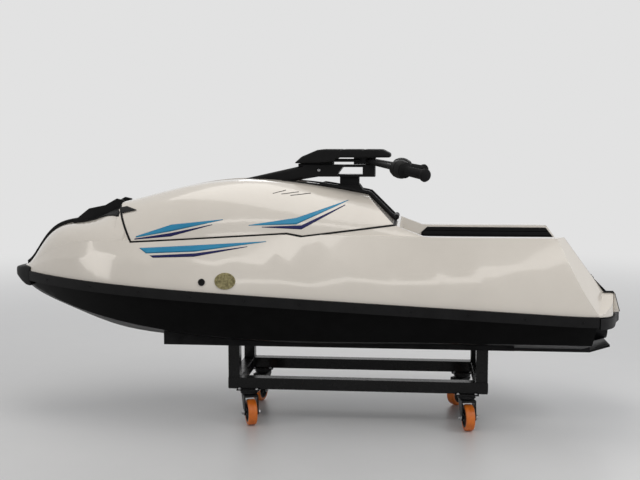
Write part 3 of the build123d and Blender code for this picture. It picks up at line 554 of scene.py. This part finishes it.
SOFT_VOXEL = 0.004
PAD_ROUNDS = 6                         # smoothing of the pad's edges
PAD_WEDGE = 0.105                      # length of the sloping front
PAD_CHANNEL = 0.0028                   # depth of the moulded channels
PAD_CHANNEL_HALF_W = 0.0032
PAD_CHANNEL_Y = 0.062                  # the two long channels
PAD_CHANNEL_PITCH = 0.085              # between the three cross channels
PAD_TOP = 0.45                         # a face that looks up this much belongs to the top
NOSE_ROUNDS = 40                       # smoothing of the bumper's edges
NOSE_TAPER = 0.065                     # length of the bow bumper's slim tip
NOSE_SLIM = 0.45                       # height left at the tip, as a share
NOSE_LEVEL = 0.72                      # height that stays where it is, as a share
NOSE_LAP = 0.007                       # reach over the ends of the rub rails


def softened(node, rounds):
    """Mesh of a CAD node with its edges rounded off."""
    source = place_in_scene(node + "_source", nodes[node].data.copy())
    remesh = source.modifiers.new("remesh", "REMESH")
    remesh.mode = "VOXEL"
    remesh.voxel_size = SOFT_VOXEL
    soften = source.modifiers.new("soften", "SMOOTH")
    soften.factor = 0.5
    soften.iterations = rounds
    bpy.context.view_layer.update()
    shown = source.evaluated_get(bpy.context.evaluated_depsgraph_get())
    mesh = bpy.data.meshes.new_from_object(shown)
    bpy.data.objects.remove(source)
    return mesh


def make_pad():
    """Moulded foam pad: the CAD shape with soft corners and channels on top."""
    mesh = softened("bar_pad", PAD_ROUNDS)
    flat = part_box("bar_pad")[1].x - PAD_WEDGE
    channels = [("y", side * PAD_CHANNEL_Y) for side in BOTH]
    channels += [("x", flat - number * PAD_CHANNEL_PITCH) for number in range(3)]
    normals = [vertex.normal.copy() for vertex in mesh.vertices]
    for vertex, normal in zip(mesh.vertices, normals):
        if normal.z > PAD_TOP:
            gap = min(abs(getattr(vertex.co, way) - place) for way, place in channels)
            vertex.co -= normal * PAD_CHANNEL * math.exp(-(gap / PAD_CHANNEL_HALF_W) ** 2)
    obj = piece("bar_pad_foam", mesh, "steering", "pad_foam")
    fine = obj.modifiers.new("fine", "SUBSURF")
    fine.levels = fine.render_levels = 1
    obj.modifiers.move(obj.modifiers.find("fine"), 0)
    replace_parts(obj, "bar_pad")


def make_nose():
    """Moulded bow bumper: the CAD block with rounded edges, its lower side drawn up towards the tip."""
    low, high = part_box("bow_bumper")
    mesh = softened("bow_bumper", NOSE_ROUNDS)
    level = low.z + NOSE_LEVEL * (high.z - low.z)
    for vertex in mesh.vertices:
        back = min(1.0, (high.x - vertex.co.x) / NOSE_TAPER)
        slim = NOSE_SLIM + (1 - NOSE_SLIM) * back * back * (3 - 2 * back)
        vertex.co.z = level + (vertex.co.z - level) * slim
        vertex.co.x -= NOSE_LAP * (high.x - vertex.co.x) / (high.x - low.x)
    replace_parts(piece("bow_bumper_moulded", mesh, "craft", "bumper_black"), "bow_bumper")


# Grips and control pods on the bar ends

GRIP_R = 0.0185
GRIP_RIBS = 15
GRIP_GROOVE = 0.0012                   # depth between the ribs
RIBS_START = 0.013                     # from the grip's inner end
RIBS_SPARE = 0.034                     # length of the grip without ribs
GRIP_FLANGE = [                        # along from the inner end, radius
    (0, 0.0115), (0, 0.0275), (0.0015, 0.0295), (0.0050, 0.0295), (0.0080, 0.0235), (0.0120, GRIP_R),
]
GRIP_BULB = [                          # back from the outer end, radius
    (0.020, GRIP_R - 0.001), (0.016, 0.0235), (0.010, 0.0245), (0.004, 0.0215), (0.001, 0.0130), (0, 0),
]
POD_INSIDE = 0.091                     # grip's middle to the pod's middle
POD_PROFILE = [
    (-0.0360, 0.0112), (-0.0360, 0.0200), (-0.0320, 0.0275), (-0.0160, 0.0335), (-0.0015, 0.0350),
    (-0.0010, 0.0336), (0.0010, 0.0336), (0.0015, 0.0350), (0.0140, 0.0340), (0.0250, 0.0300),
    (0.0280, 0.0220), (0.0280, 0.0112),
]


def main_axis(node, side):
    """Middle, direction outwards and half length of the part of a node on one side."""
    points = np.array([vertex.co for vertex in nodes[node].data.vertices if vertex.co.y * side > 0])
    middle = points.mean(0)
    direction = Vector(np.linalg.svd(points - middle, full_matrices=False)[2][0])
    direction *= math.copysign(1, direction.y * side)
    reach = (points - middle) @ np.array(direction)
    centre = Vector(middle) + direction * (reach.max() + reach.min()) / 2
    return centre, direction, (reach.max() - reach.min()) / 2


def grip_profile(length):
    """Flange, fine ribs and a rounded end bulb."""
    profile = list(GRIP_FLANGE)
    pitch = (length - RIBS_SPARE) / GRIP_RIBS
    for rib in range(GRIP_RIBS):
        start = RIBS_START + rib * pitch
        profile.append((start, GRIP_R - GRIP_GROOVE))
        profile += [(start + pitch * share, GRIP_R) for share in (0.2, 0.8)]
    return profile + [(length - back, radius) for back, radius in GRIP_BULB]


def make_grips():
    """Rubber grips, and the pods of the controls inside them."""
    grips = bmesh.new()
    pods = bmesh.new()
    for side in BOTH:
        middle, direction, half = main_axis("grips", side)
        lathe(grips, grip_profile(2 * half), along_axis(middle - direction * half, direction), steps=36)
        lathe(pods, POD_PROFILE, along_axis(middle - direction * POD_INSIDE, direction), closed=True)
    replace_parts(build("grips_ribbed", grips, "steering", "grip_rubber"), "grips")
    build("control_pods", pods, "steering", "trim_black")


# Caster wheels, profiles along the axle or down the swivel

TREAD_PROFILE = [
    (-0.0170, 0.0380), (-0.0170, 0.0452), (-0.0158, 0.0474), (-0.0130, 0.0491), (-0.0085, 0.0499),
    (-0.0016, 0.0500), (-0.0008, 0.0493), (0.0008, 0.0493), (0.0016, 0.0500), (0.0085, 0.0499),
    (0.0130, 0.0491), (0.0158, 0.0474), (0.0170, 0.0452), (0.0170, 0.0380),
]
HUB_PROFILE = [
    (-0.0165, 0.0379), (-0.0165, 0.0325), (-0.0100, 0.0300), (-0.0100, 0.0165), (-0.0170, 0.0150),
    (-0.0170, 0.0064), (0.0170, 0.0064), (0.0170, 0.0150), (0.0100, 0.0165), (0.0100, 0.0300),
    (0.0165, 0.0325), (0.0165, 0.0379),
]
NUT_PROFILE = [
    (-0.0005, 0), (-0.0005, 0.0110), (0.0010, 0.0110), (0.0010, 0.0092, HEX), (0.0060, 0.0092, HEX),
    (0.0068, 0.0080, HEX), (0.0068, 0.0052), (0.0090, 0.0050), (0.0090, 0),
]
RING_PROFILE = [
    (-0.0150, 0.0255), (-0.0150, 0.0330), (-0.0125, 0.0350), (-0.0090, 0.0350), (-0.0075, 0.0335),
    (-0.0060, 0.0350), (-0.0020, 0.0350), (-0.0008, 0.0335), (-0.0008, 0.0255),
]
SPOKES = 6
SPOKE_R = (0.0155, 0.0312)             # inner and outer end
SPOKE_HALF_T = 0.0016
SPOKE_ALONG = (0.0095, 0.0150)         # from the wheel's middle plane
FORK_HALF = 0.028                      # outer faces of the fork legs
PLATE_BOLT_R = 0.0062
PLATE_BOLTS = [(x, y) for x in (-0.034, 0.034) for y in (-0.0285, 0.0285)]


def make_wheel(corner):
    """Tread and ribbed hub of one caster."""
    roll = joints["roll_" + corner]
    place = along_axis(roll["pos_m"], roll["axis"])
    bm = bmesh.new()
    lathe(bm, TREAD_PROFILE, place, steps=64, closed=True)
    tread = build("tread_" + corner, bm, "wheel_" + corner, "wheel_orange")
    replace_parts(tread, "caster_tread_" + corner)
    bm = bmesh.new()
    lathe(bm, HUB_PROFILE, place, steps=48, closed=True)
    for number in range(SPOKES):
        spoke = place @ Matrix.Rotation(number * 2 * math.pi / SPOKES, 4, "Z")
        for way in (-1, 1):
            near, far = sorted(way * along for along in SPOKE_ALONG)
            box(bm, (SPOKE_R[0], -SPOKE_HALF_T, near), (SPOKE_R[1], SPOKE_HALF_T, far), spoke)
    hub = build("hub_" + corner, bm, "wheel_" + corner, "wheel_hub", bevel=0.0005)
    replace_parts(hub, "caster_hub_" + corner)


def swivel_top(corner):
    """Top of a caster's swivel, under its plate."""
    x, y = joints["swivel_" + corner]["pos_m"][:2]
    return Vector((x, y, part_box("caster_plates")[0].z))


def make_swivel(corner):
    """Axle nuts and bearing ring on the fork of one caster."""
    roll = joints["roll_" + corner]
    centre = Vector(roll["pos_m"])
    axis = Vector(roll["axis"])
    bm = bmesh.new()
    for way in BOTH:
        lathe(bm, NUT_PROFILE, along_axis(centre + axis * way * FORK_HALF, axis * way), steps=30)
    build("axle_nuts_" + corner, bm, "swivel_" + corner, "fork_black", ZINC)
    bm = bmesh.new()
    lathe(bm, RING_PROFILE, Matrix.Translation(swivel_top(corner)), steps=48, closed=True)
    build("bearing_ring_" + corner, bm, "swivel_" + corner, "fork_black")


def make_casters():
    """The four casters and the bolts of their plates."""
    places = []
    plate_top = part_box("caster_plates")[1].z
    for corner in CORNERS:
        make_wheel(corner)
        make_swivel(corner)
        head = swivel_top(corner)
        places += [((head.x + x, head.y + y, plate_top), UP) for x, y in PLATE_BOLTS]
    bolts("caster_plate_bolts", places, PLATE_BOLT_R, "craft", "cart_paint", ZINC)


# Cart: weld beads at the tube joints, and plugs in the open rail ends

BEAD_R = 0.0022
BEAD_STEP = 0.0028
BEAD_RIPPLE = 0.16                     # share of the radius
BEAD_TURN = 2.4                        # radians of the ripple per step
BEAD_TIP = 0.001                       # pointed ends past the joint
RAIL_PLUG_WALL = 0.002                 # tube's wall round a plug
RAIL_PLUG_SINK = 0.001
RAIL_PLUG_STEPS = ((0.0018, 0.0), (0.0026, 0.006))    # reach out of the tube, margin


def bead(bm, start, end):
    """Rippled weld bead along a joint."""
    run = Vector(end) - Vector(start)
    steps = max(4, int(run.length / BEAD_STEP))
    profile = [(-BEAD_TIP, 0)]
    for step in range(steps + 1):
        ripple = BEAD_R * (1 + BEAD_RIPPLE * math.sin(BEAD_TURN * step))
        profile.append((run.length * step / steps, ripple))
    profile.append((run.length + BEAD_TIP, 0))
    lathe(bm, profile, along_axis(start, run.normalized()), steps=10)


def make_welds():
    """Beads round the feet of the posts and at the ends of the cross tubes."""
    low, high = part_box("cart_rails")
    tube = high.z - low.z
    bm = bmesh.new()
    feet = [
        # rear face, front face and the face towards the other post
        (low.x, low.x + tube, low.x + tube),
        (high.x - tube, high.x, high.x - tube),
    ]
    for rear, front, inside in feet:
        for side in BOTH:
            outer = side * high.y
            inner = side * (high.y - tube)
            bead(bm, (rear, inner, high.z), (front, inner, high.z))
            bead(bm, (rear, outer, high.z), (front, outer, high.z))
            bead(bm, (inside, inner, high.z), (inside, outer, high.z))
            bead(bm, (inside, inner, low.z), (inside, inner, high.z))
    build("cart_welds", bm, "craft", "cart_paint")


def make_rail_plugs():
    """Stepped plugs in the ends of the side rails."""
    low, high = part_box("cart_rails")
    tube = high.z - low.z
    bm = bmesh.new()
    for end, way in ((low.x, -1), (high.x, 1)):
        for side in BOTH:
            middle = side * (high.y - tube / 2)
            for reach, margin in RAIL_PLUG_STEPS:
                inset = RAIL_PLUG_WALL + margin
                half = tube / 2 - inset
                near, far = sorted((end - way * RAIL_PLUG_SINK, end + way * reach))
                box(bm, (near, middle - half, low.z + inset), (far, middle + half, high.z - inset))
    build("rail_plugs", bm, "craft", "trim_black", bevel=0.0008)


# Fasteners and small fittings on the craft

BRACKET_BOLT_R = 0.0075
BRACKET_BOLTS = ((0.105, 0.032), (0.150, 0.020), (0.022, 0.040))    # ahead of the rear end, above the foot
HEAD_BOLT_R = 0.0070
HEAD_BOLT = (0.064, 0.036)             # behind the front end, above the foot
RAIL_SCREW_R = 0.0034
RAIL_SCREWS = 11                       # on each side
RAIL_SCREW_REAR = 0.06                 # first screw, from the rail's rear end
RAIL_SCREW_SPARE = 0.16                # length of the rail without screws
RAIL_HALF_H = 0.019
DRAIN_Y = 0.205
DRAIN_Z = 0.375
DRAIN_PROFILE = [
    (-0.0040, 0), (-0.0040, 0.0210), (0.0040, 0.0210), (0.0070, 0.0180), (0.0070, 0.0120),
    (0.0075, 0.0110, HEX), (0.0140, 0.0105, HEX), (0.0155, 0.0080, HEX), (0.0155, 0),
]
STOP_BUTTON_R = 0.0085
THROTTLE_SCREW_R = 0.0050
THROTTLE_SCREW_IN = 0.030              # from the lever's front and inner end
BUTTON_PROFILE = [                     # along, share of the radius
    (-0.0020, 0), (-0.0020, 1.35), (0.0020, 1.35), (0.0030, 1.2), (0.0030, 1), (0.0065, 1), (0.0080, 0.85),
    (0.0075, 0),
]


def make_pole_bolts():
    """Bolts in the sides of the pole's bracket and head."""
    tree = skin("pole_bracket")
    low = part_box("pole_bracket")[0]
    places = [abeam(tree, low.x + x, low.z + z, side) for side in BOTH for x, z in BRACKET_BOLTS]
    bolts("bracket_bolts", places, BRACKET_BOLT_R, "craft")
    tree = skin("pole_head")
    low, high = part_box("pole_head")
    places = [abeam(tree, high.x - HEAD_BOLT[0], low.z + HEAD_BOLT[1], side) for side in BOTH]
    bolts("head_bolts", places, HEAD_BOLT_R, "pole", "pole_black", ZINC)


def make_rail_screws():
    """A row of screws along the middle of each rub rail, which rises towards the bow."""
    tree = skin("rub_rails")
    low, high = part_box("rub_rails")
    length = high.x - low.x
    rise = high.z - low.z - 2 * RAIL_HALF_H
    places = []
    for side in BOTH:
        for number in range(RAIL_SCREWS):
            ahead = RAIL_SCREW_REAR + number * (length - RAIL_SCREW_SPARE) / (RAIL_SCREWS - 1)
            places.append(abeam(tree, low.x + ahead, low.z + RAIL_HALF_H + ahead / length * rise, side))
    bolts("rail_screws", places, RAIL_SCREW_R, "craft", "bumper_black")


def make_drain_plugs():
    """Two drain plugs in the transom."""
    tree = skin("hull")
    bm = bmesh.new()
    for side in BOTH:
        point, normal = strike(tree, (-RAY_FAR, side * DRAIN_Y, DRAIN_Z), AHEAD)
        lathe(bm, DRAIN_PROFILE, along_axis(point, normal), steps=36)
    build("drain_plugs", bm, "craft", "trim_black")


def make_button(name, node, x, y, radius, material):
    """Round button on the top of a CAD node."""
    profile = [(along, share * radius) for along, share in BUTTON_PROFILE]
    bm = bmesh.new()
    lathe(bm, profile, along_axis(*from_above(skin(node), x, y)), steps=32)
    build(name, bm, "steering", "trim_black", material)


def make_switches():
    """Stop button on the port housing, pivot screw on the throttle lever."""
    low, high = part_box("switch_housing")
    middle = (low + high) / 2
    make_button("stop_button", "switch_housing", middle.x, middle.y, STOP_BUTTON_R, BUTTON_RED)
    low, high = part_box("throttle_lever")
    x = high.x - THROTTLE_SCREW_IN
    y = high.y - THROTTLE_SCREW_IN
    make_button("throttle_screw", "throttle_lever", x, y, THROTTLE_SCREW_R, ZINC)


# Trim of the hood and the stern, braces under the bar pad

TRIM_R = 0.0075
TRIM_AND_SHADOW_FRONT_X = 0.10                    # front end of the hood's edge trim, whose run over the hood is partly black mat and partly painted shadow of the pole
TRIM_TAPER = 0.22                      # length over which it thins out
TRIM_TIP = 0.3                         # radius left there, as a share
TRIM_STATIONS = 36
TRIM_REAR_IN = 0.003                   # from the console's rear end
TRIM_SIDE_IN = 0.001                   # from the console's side
CAP_TOP = (-1.1572, 0.5440)            # raked end cap of a stern lip, x and z
CAP_HEEL = (-1.1810, 0.4690)
CAP_FOOT = (-1.1570, 0.4640)
CAP_THICK = 0.020
LIP_FRONT_X = -1.1192
LIP_INNER_Y = 0.205                    # inner face of a stern lip at the tray's floor
TRAY_FLOOR_Z = 0.4663
EDGING_R = 0.0035
EDGING_BEND = 0.1                      # share of a run that the edging's corner takes
BRACE_R = 0.0055
BRACE_Y = 0.050
BRACE_UP = 0.017                       # above the pole's head
BRACE_BACK = (0.262, 0.148)            # ends, behind the pad's front


def make_console_trim():
    """Rubber trim along both edges of the hood console, thinning out to the front; its run forward of the console,
    over the hood, stands partly for black mat and partly for painted shadow of the pole.
    """
    low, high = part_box("hood_console")
    tree = skin("hood", "hood_console")
    rear = low.x + TRIM_REAR_IN
    bm = bmesh.new()
    for side in BOTH:
        line, radii = [], []
        for station in range(TRIM_STATIONS + 1):
            x = rear + station / TRIM_STATIONS * (TRIM_AND_SHADOW_FRONT_X - rear)
            line.append(from_above(tree, x, side * (high.y - TRIM_SIDE_IN))[0])
            radii.append(TRIM_R * min(1.0, TRIM_TIP + (TRIM_AND_SHADOW_FRONT_X - x) / TRIM_TAPER))
        rod(bm, line, radii)
    build("console_trim_and_shadow", bm, "craft", "seal_rubber")


def lip_y(z):
    """Inner face of a stern lip at a height."""
    return LIP_INNER_Y + WALL_LEAN * (z - TRAY_FLOOR_Z)


def make_stern_lips():
    """Raked end caps of the stern lips, and the rubber edging over them."""
    edging = bmesh.new()
    caps = bmesh.new()
    for side in BOTH:
        inner = [Vector((x, side * lip_y(z), z)) for x, z in (CAP_TOP, CAP_HEEL, CAP_FOOT)]
        outer = [point + Vector((0, side * CAP_THICK, 0)) for point in inner]
        top, heel, foot = [(a + b) / 2 for a, b in zip(inner, outer)]
        front = Vector((LIP_FRONT_X, top.y, top.z))
        line = [heel, heel.lerp(top, 1 - EDGING_BEND), top.lerp(front, EDGING_BEND), front]
        rod(edging, line, [EDGING_R] * len(line))
        near, far = [[caps.verts.new(point) for point in ring] for ring in (inner, outer)]
        caps.faces.new(near)
        caps.faces.new(far)
        for a, b in ((0, 1), (1, 2), (2, 0)):
            caps.faces.new((near[a], near[b], far[b], far[a]))
    build("stern_edging", edging, "craft", "seal_rubber")
    build("stern_lip_caps", caps, "craft", "gelcoat_white", bevel=0.003)


def make_braces():
    """Two rods under the bar pad."""
    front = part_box("bar_pad")[1].x
    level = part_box("pole_head")[1].z + BRACE_UP
    bm = bmesh.new()
    for side in BOTH:
        ends = [Vector((front - back, side * BRACE_Y, level)) for back in BRACE_BACK]
        rod(bm, ends, [BRACE_R, BRACE_R])
    build("bar_braces", bm, "steering", "bar_metal")


# Disc and plug on the side, strip at the pole's head, skirt of its rest, hood latch

DISC_STRETCH = (1.20, 0.92)            # along and upright
STRIP_BACK = (0.153, 0.016)            # ends of the strip, behind the pad's front
STRIP_HALF_W = 0.040
STRIP_SINK = 0.002                     # into the pole's head
STRIP_NOSE_DROP = 0.010                # the front end's lower edge
STRIP_TOP_REAR = 0.0055                # upper edge against the pad's underside
STRIP_TOP_FRONT = -0.0012
SKIRT_MARGIN = 0.003                   # round the rest
SKIRT_SINK = 0.004
SKIRT_TALL = 0.022
SKIRT_FLARE = 0.016
LATCH_BACK = 0.002                     # behind the console's rear edge
LATCH_UP = 0.008
LATCH_POST_Y = 0.034
LATCH_POST_HALF = (0.009, 0.007)       # across and upright
LATCH_POST_X = (-0.004, 0.026)         # ends, from the bar's axis
LATCH_PROFILE = [
    (-0.064, 0), (-0.064, 0.0070), (-0.060, 0.0105), (-0.046, 0.0105), (-0.042, 0.0085), (0.042, 0.0085),
    (0.046, 0.0105), (0.060, 0.0105), (0.064, 0.0070), (0.064, 0),
]
OUTLET_PROFILE = [(-0.0020, 0), (-0.0020, 0.0078), (0.0007, 0.0078), (0.0012, 0.0060), (0.0007, 0)]


def make_disc():
    """Oval badge blank on the side, from the CAD disc."""
    low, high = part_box("side_disc")
    middle = (low + high) / 2
    mesh = nodes["side_disc"].data.copy()
    for vertex in mesh.vertices:
        vertex.co.x = middle.x + (vertex.co.x - middle.x) * DISC_STRETCH[0]
        vertex.co.z = middle.z + (vertex.co.z - middle.z) * DISC_STRETCH[1]
    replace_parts(piece("side_disc_oval", mesh, "craft", "disc_gold"), "side_disc")


def make_head_strip():
    """Rubber strip between the pole's head and the bar pad, deeper at its front end."""
    head_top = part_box("pole_head")[1].z
    pad_low, pad_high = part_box("bar_pad")
    rear, front = [pad_high.x - back for back in STRIP_BACK]
    bm = bmesh.new()
    for vertex in box(bm, (rear, -STRIP_HALF_W, head_top - STRIP_SINK), (front, STRIP_HALF_W, pad_low.z)):
        at_front = vertex.co.x > (rear + front) / 2
        if vertex.co.z > head_top:
            vertex.co.z += STRIP_TOP_FRONT if at_front else STRIP_TOP_REAR
        elif at_front:
            vertex.co.z -= STRIP_NOSE_DROP
    build("head_strip", bm, "pole", "seal_rubber", bevel=0.0015)


def make_rest_skirt():
    """Flared foot of the pole's rest on the hood."""
    low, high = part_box("pole_rest")
    foot = (low.x - SKIRT_MARGIN, low.y - SKIRT_MARGIN, low.z - SKIRT_SINK)
    top = (high.x + SKIRT_MARGIN, high.y + SKIRT_MARGIN, low.z + SKIRT_TALL)
    bm = bmesh.new()
    wedge(bm, foot, top, SKIRT_FLARE)
    build("rest_skirt", bm, "craft", "seal_rubber", bevel=0.003, segments=3)


def make_latch():
    """Latch bar on two posts at the rear edge of the hood console."""
    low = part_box("hood_console")[0]
    bar = Vector((low.x - LATCH_BACK, 0, low.z + LATCH_UP))
    half_w, half_h = LATCH_POST_HALF
    rear, front = [bar.x + along for along in LATCH_POST_X]
    bm = bmesh.new()
    lathe(bm, LATCH_PROFILE, along_axis(bar, TO_PORT), steps=28)
    for y in (-LATCH_POST_Y, LATCH_POST_Y):
        box(bm, (rear, y - half_w, bar.z - half_h), (front, y + half_w, bar.z + half_h))
    build("hood_latch", bm, "craft", "trim_black", bevel=0.0015)


def make_outlet_plug():
    """Plug in the side outlet, on the port side as in the photograph."""
    low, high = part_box("side_outlet")
    middle = (low + high) / 2
    point, normal = abeam(skin("hood", "deck"), middle.x, middle.z, 1)
    bm = bmesh.new()
    lathe(bm, OUTLET_PROFILE, along_axis(point, normal), steps=28)
    build("outlet_plug", bm, "craft", "trim_black")


# Camera, stage and light

CAMERA_AT = (-0.4216, 3.9615, 1.102)   # where the photograph was taken from
CAMERA_YAW = math.radians(5.45)        # towards the bow from straight abeam
CAMERA_PITCH = math.radians(5.73)      # downwards
CAMERA_LENS = 56.0
CAMERA_SENSOR = 36.0
BACKDROP = (0.76, 0.76, 0.76, 1)
SKY = (0.86, 0.88, 0.92, 1)
SKY_STRENGTH = 0.38
FLOOR_REACH = 14.0
FLOOR_Z = -0.0005
FLOOR_FADE = (1.6, 6.5)                # distances over which the floor runs out
LAMPS = [
    # name, place, aim, size, power, tint
    ("key_low", (-0.6, 4.2, 2.3), (-0.1, 0, 0.6), (4.6, 0.28), 9, (1.0, 0.96, 0.91)),
    ("key_high", (-0.4, 3.2, 3.6), (-0.1, 0, 0.6), (4.6, 0.40), 13, (1.0, 0.96, 0.91)),
    ("top", (0.3, 0.2, 3.8), (0, 0, 0.5), (4.0, 2.0), 38, (1.0, 0.97, 0.93)),
    ("bow", (3.6, 2.2, 1.9), (0.6, 0, 0.6), (1.2, 1.6), 15, (1.0, 0.95, 0.89)),
    ("stern", (-3.0, 1.2, 2.4), (-1.0, 0.3, 0.6), (1.4, 1.4), 30, (1, 1, 1)),
    ("rim", (-0.5, -3.6, 2.6), (0, 0, 0.7), (3.2, 1.2), 20, (1, 1, 1)),
]


def face_along(obj, way):
    """Turns a camera or lamp to look along a direction."""
    obj.rotation_euler = way.to_track_quat("-Z", "Y").to_euler()


def make_camera():
    """Camera where the photograph was taken from."""
    data = bpy.data.cameras.new("camera")
    data.lens = CAMERA_LENS
    data.sensor_width = CAMERA_SENSOR
    camera = place_in_scene("camera", data)
    camera.location = CAMERA_AT
    level = math.cos(CAMERA_PITCH)
    ahead = (math.sin(CAMERA_YAW) * level, -math.cos(CAMERA_YAW) * level, -math.sin(CAMERA_PITCH))
    face_along(camera, Vector(ahead))
    bpy.context.scene.camera = camera


def make_lamps():
    """Rectangular softboxes round the craft."""
    for name, at, aim, size, power, tint in LAMPS:
        data = bpy.data.lights.new(name, "AREA")
        data.shape = "RECTANGLE"
        data.size, data.size_y = size
        data.energy = power
        data.color = tint
        lamp = place_in_scene(name, data)
        lamp.location = at
        face_along(lamp, Vector(aim) - Vector(at))


def in_view(tree):
    """Socket that is 1 for rays from the camera and in mirrored or transmitted views."""
    path = put(tree, "ShaderNodeLightPath")
    total = path.outputs["Is Camera Ray"]
    for ray in ("Is Glossy Ray", "Is Transmission Ray"):
        either = put(tree, "ShaderNodeMath")
        either.operation = "MAXIMUM"
        tree.links.new(total, either.inputs[0])
        tree.links.new(path.outputs[ray], either.inputs[1])
        total = either.outputs["Value"]
    return total


def fade_out(material):
    """The floor runs out into the backdrop's colour, as the camera sees it."""
    tree = material.node_tree
    join = tree.links.new
    coords = put(tree, "ShaderNodeTexCoord")
    length = put(tree, "ShaderNodeVectorMath")
    length.operation = "LENGTH"
    share = put(tree, "ShaderNodeMapRange", From_Min=FLOOR_FADE[0], From_Max=FLOOR_FADE[1])
    share.interpolation_type = "SMOOTHSTEP"
    seen = put(tree, "ShaderNodeMath")
    seen.operation = "MULTIPLY"
    glow = put(tree, "ShaderNodeEmission", Color=BACKDROP)
    mix = put(tree, "ShaderNodeMixShader")
    join(coords.outputs["Object"], length.inputs[0])
    join(length.outputs["Value"], share.inputs["Value"])
    join(share.outputs["Result"], seen.inputs[0])
    join(in_view(tree), seen.inputs[1])
    join(seen.outputs["Value"], mix.inputs["Fac"])
    join(tree.nodes["Principled BSDF"].outputs["BSDF"], mix.inputs[1])
    join(glow.outputs["Emission"], mix.inputs[2])
    join(mix.outputs["Shader"], tree.nodes["Material Output"].inputs["Surface"])


def make_floor():
    """Plain pale floor just below the wheels."""
    mesh = bpy.data.meshes.new("floor")
    corners = [(x * FLOOR_REACH, y * FLOOR_REACH, 0) for x, y in ((-1, -1), (1, -1), (1, 1), (-1, 1))]
    mesh.from_pydata(corners, [], [(0, 1, 2, 3)])
    floor = place_in_scene("floor", mesh)
    floor.location.z = FLOOR_Z
    pale = surface("floor", (0.70, 0.70, 0.70), (0.75, 0.75, 0.745), 1.2, (0.30, 0.42), 60, 0.0002)
    fade_out(pale)
    dress(floor, pale)


def make_world():
    """Soft light from all round, with a plain backdrop where the world is seen."""
    world = bpy.data.worlds.new("studio")
    bpy.context.scene.world = world
    world.use_nodes = True
    tree = world.node_tree
    join = tree.links.new
    light = tree.nodes["Background"]
    light.inputs["Color"].default_value = SKY
    light.inputs["Strength"].default_value = SKY_STRENGTH
    seen = put(tree, "ShaderNodeBackground", Color=BACKDROP, Strength=1.0)
    mix = put(tree, "ShaderNodeMixShader")
    join(in_view(tree), mix.inputs["Fac"])
    join(light.outputs["Background"], mix.inputs[1])
    join(seen.outputs["Background"], mix.inputs[2])
    join(mix.outputs["Shader"], tree.nodes["World Output"].inputs["Surface"])


# The whole scene

dress_nodes()
make_stripes()
make_mats()
make_pad()
make_nose()
make_grips()
make_casters()
make_welds()
make_rail_plugs()
make_pole_bolts()
make_rail_screws()
make_drain_plugs()
make_switches()
make_console_trim()
make_stern_lips()
make_braces()
make_disc()
make_head_strip()
make_rest_skirt()
make_latch()
make_outlet_plug()
make_camera()
make_floor()
make_world()
make_lamps()
bpy.context.scene.view_settings.view_transform = "Standard"
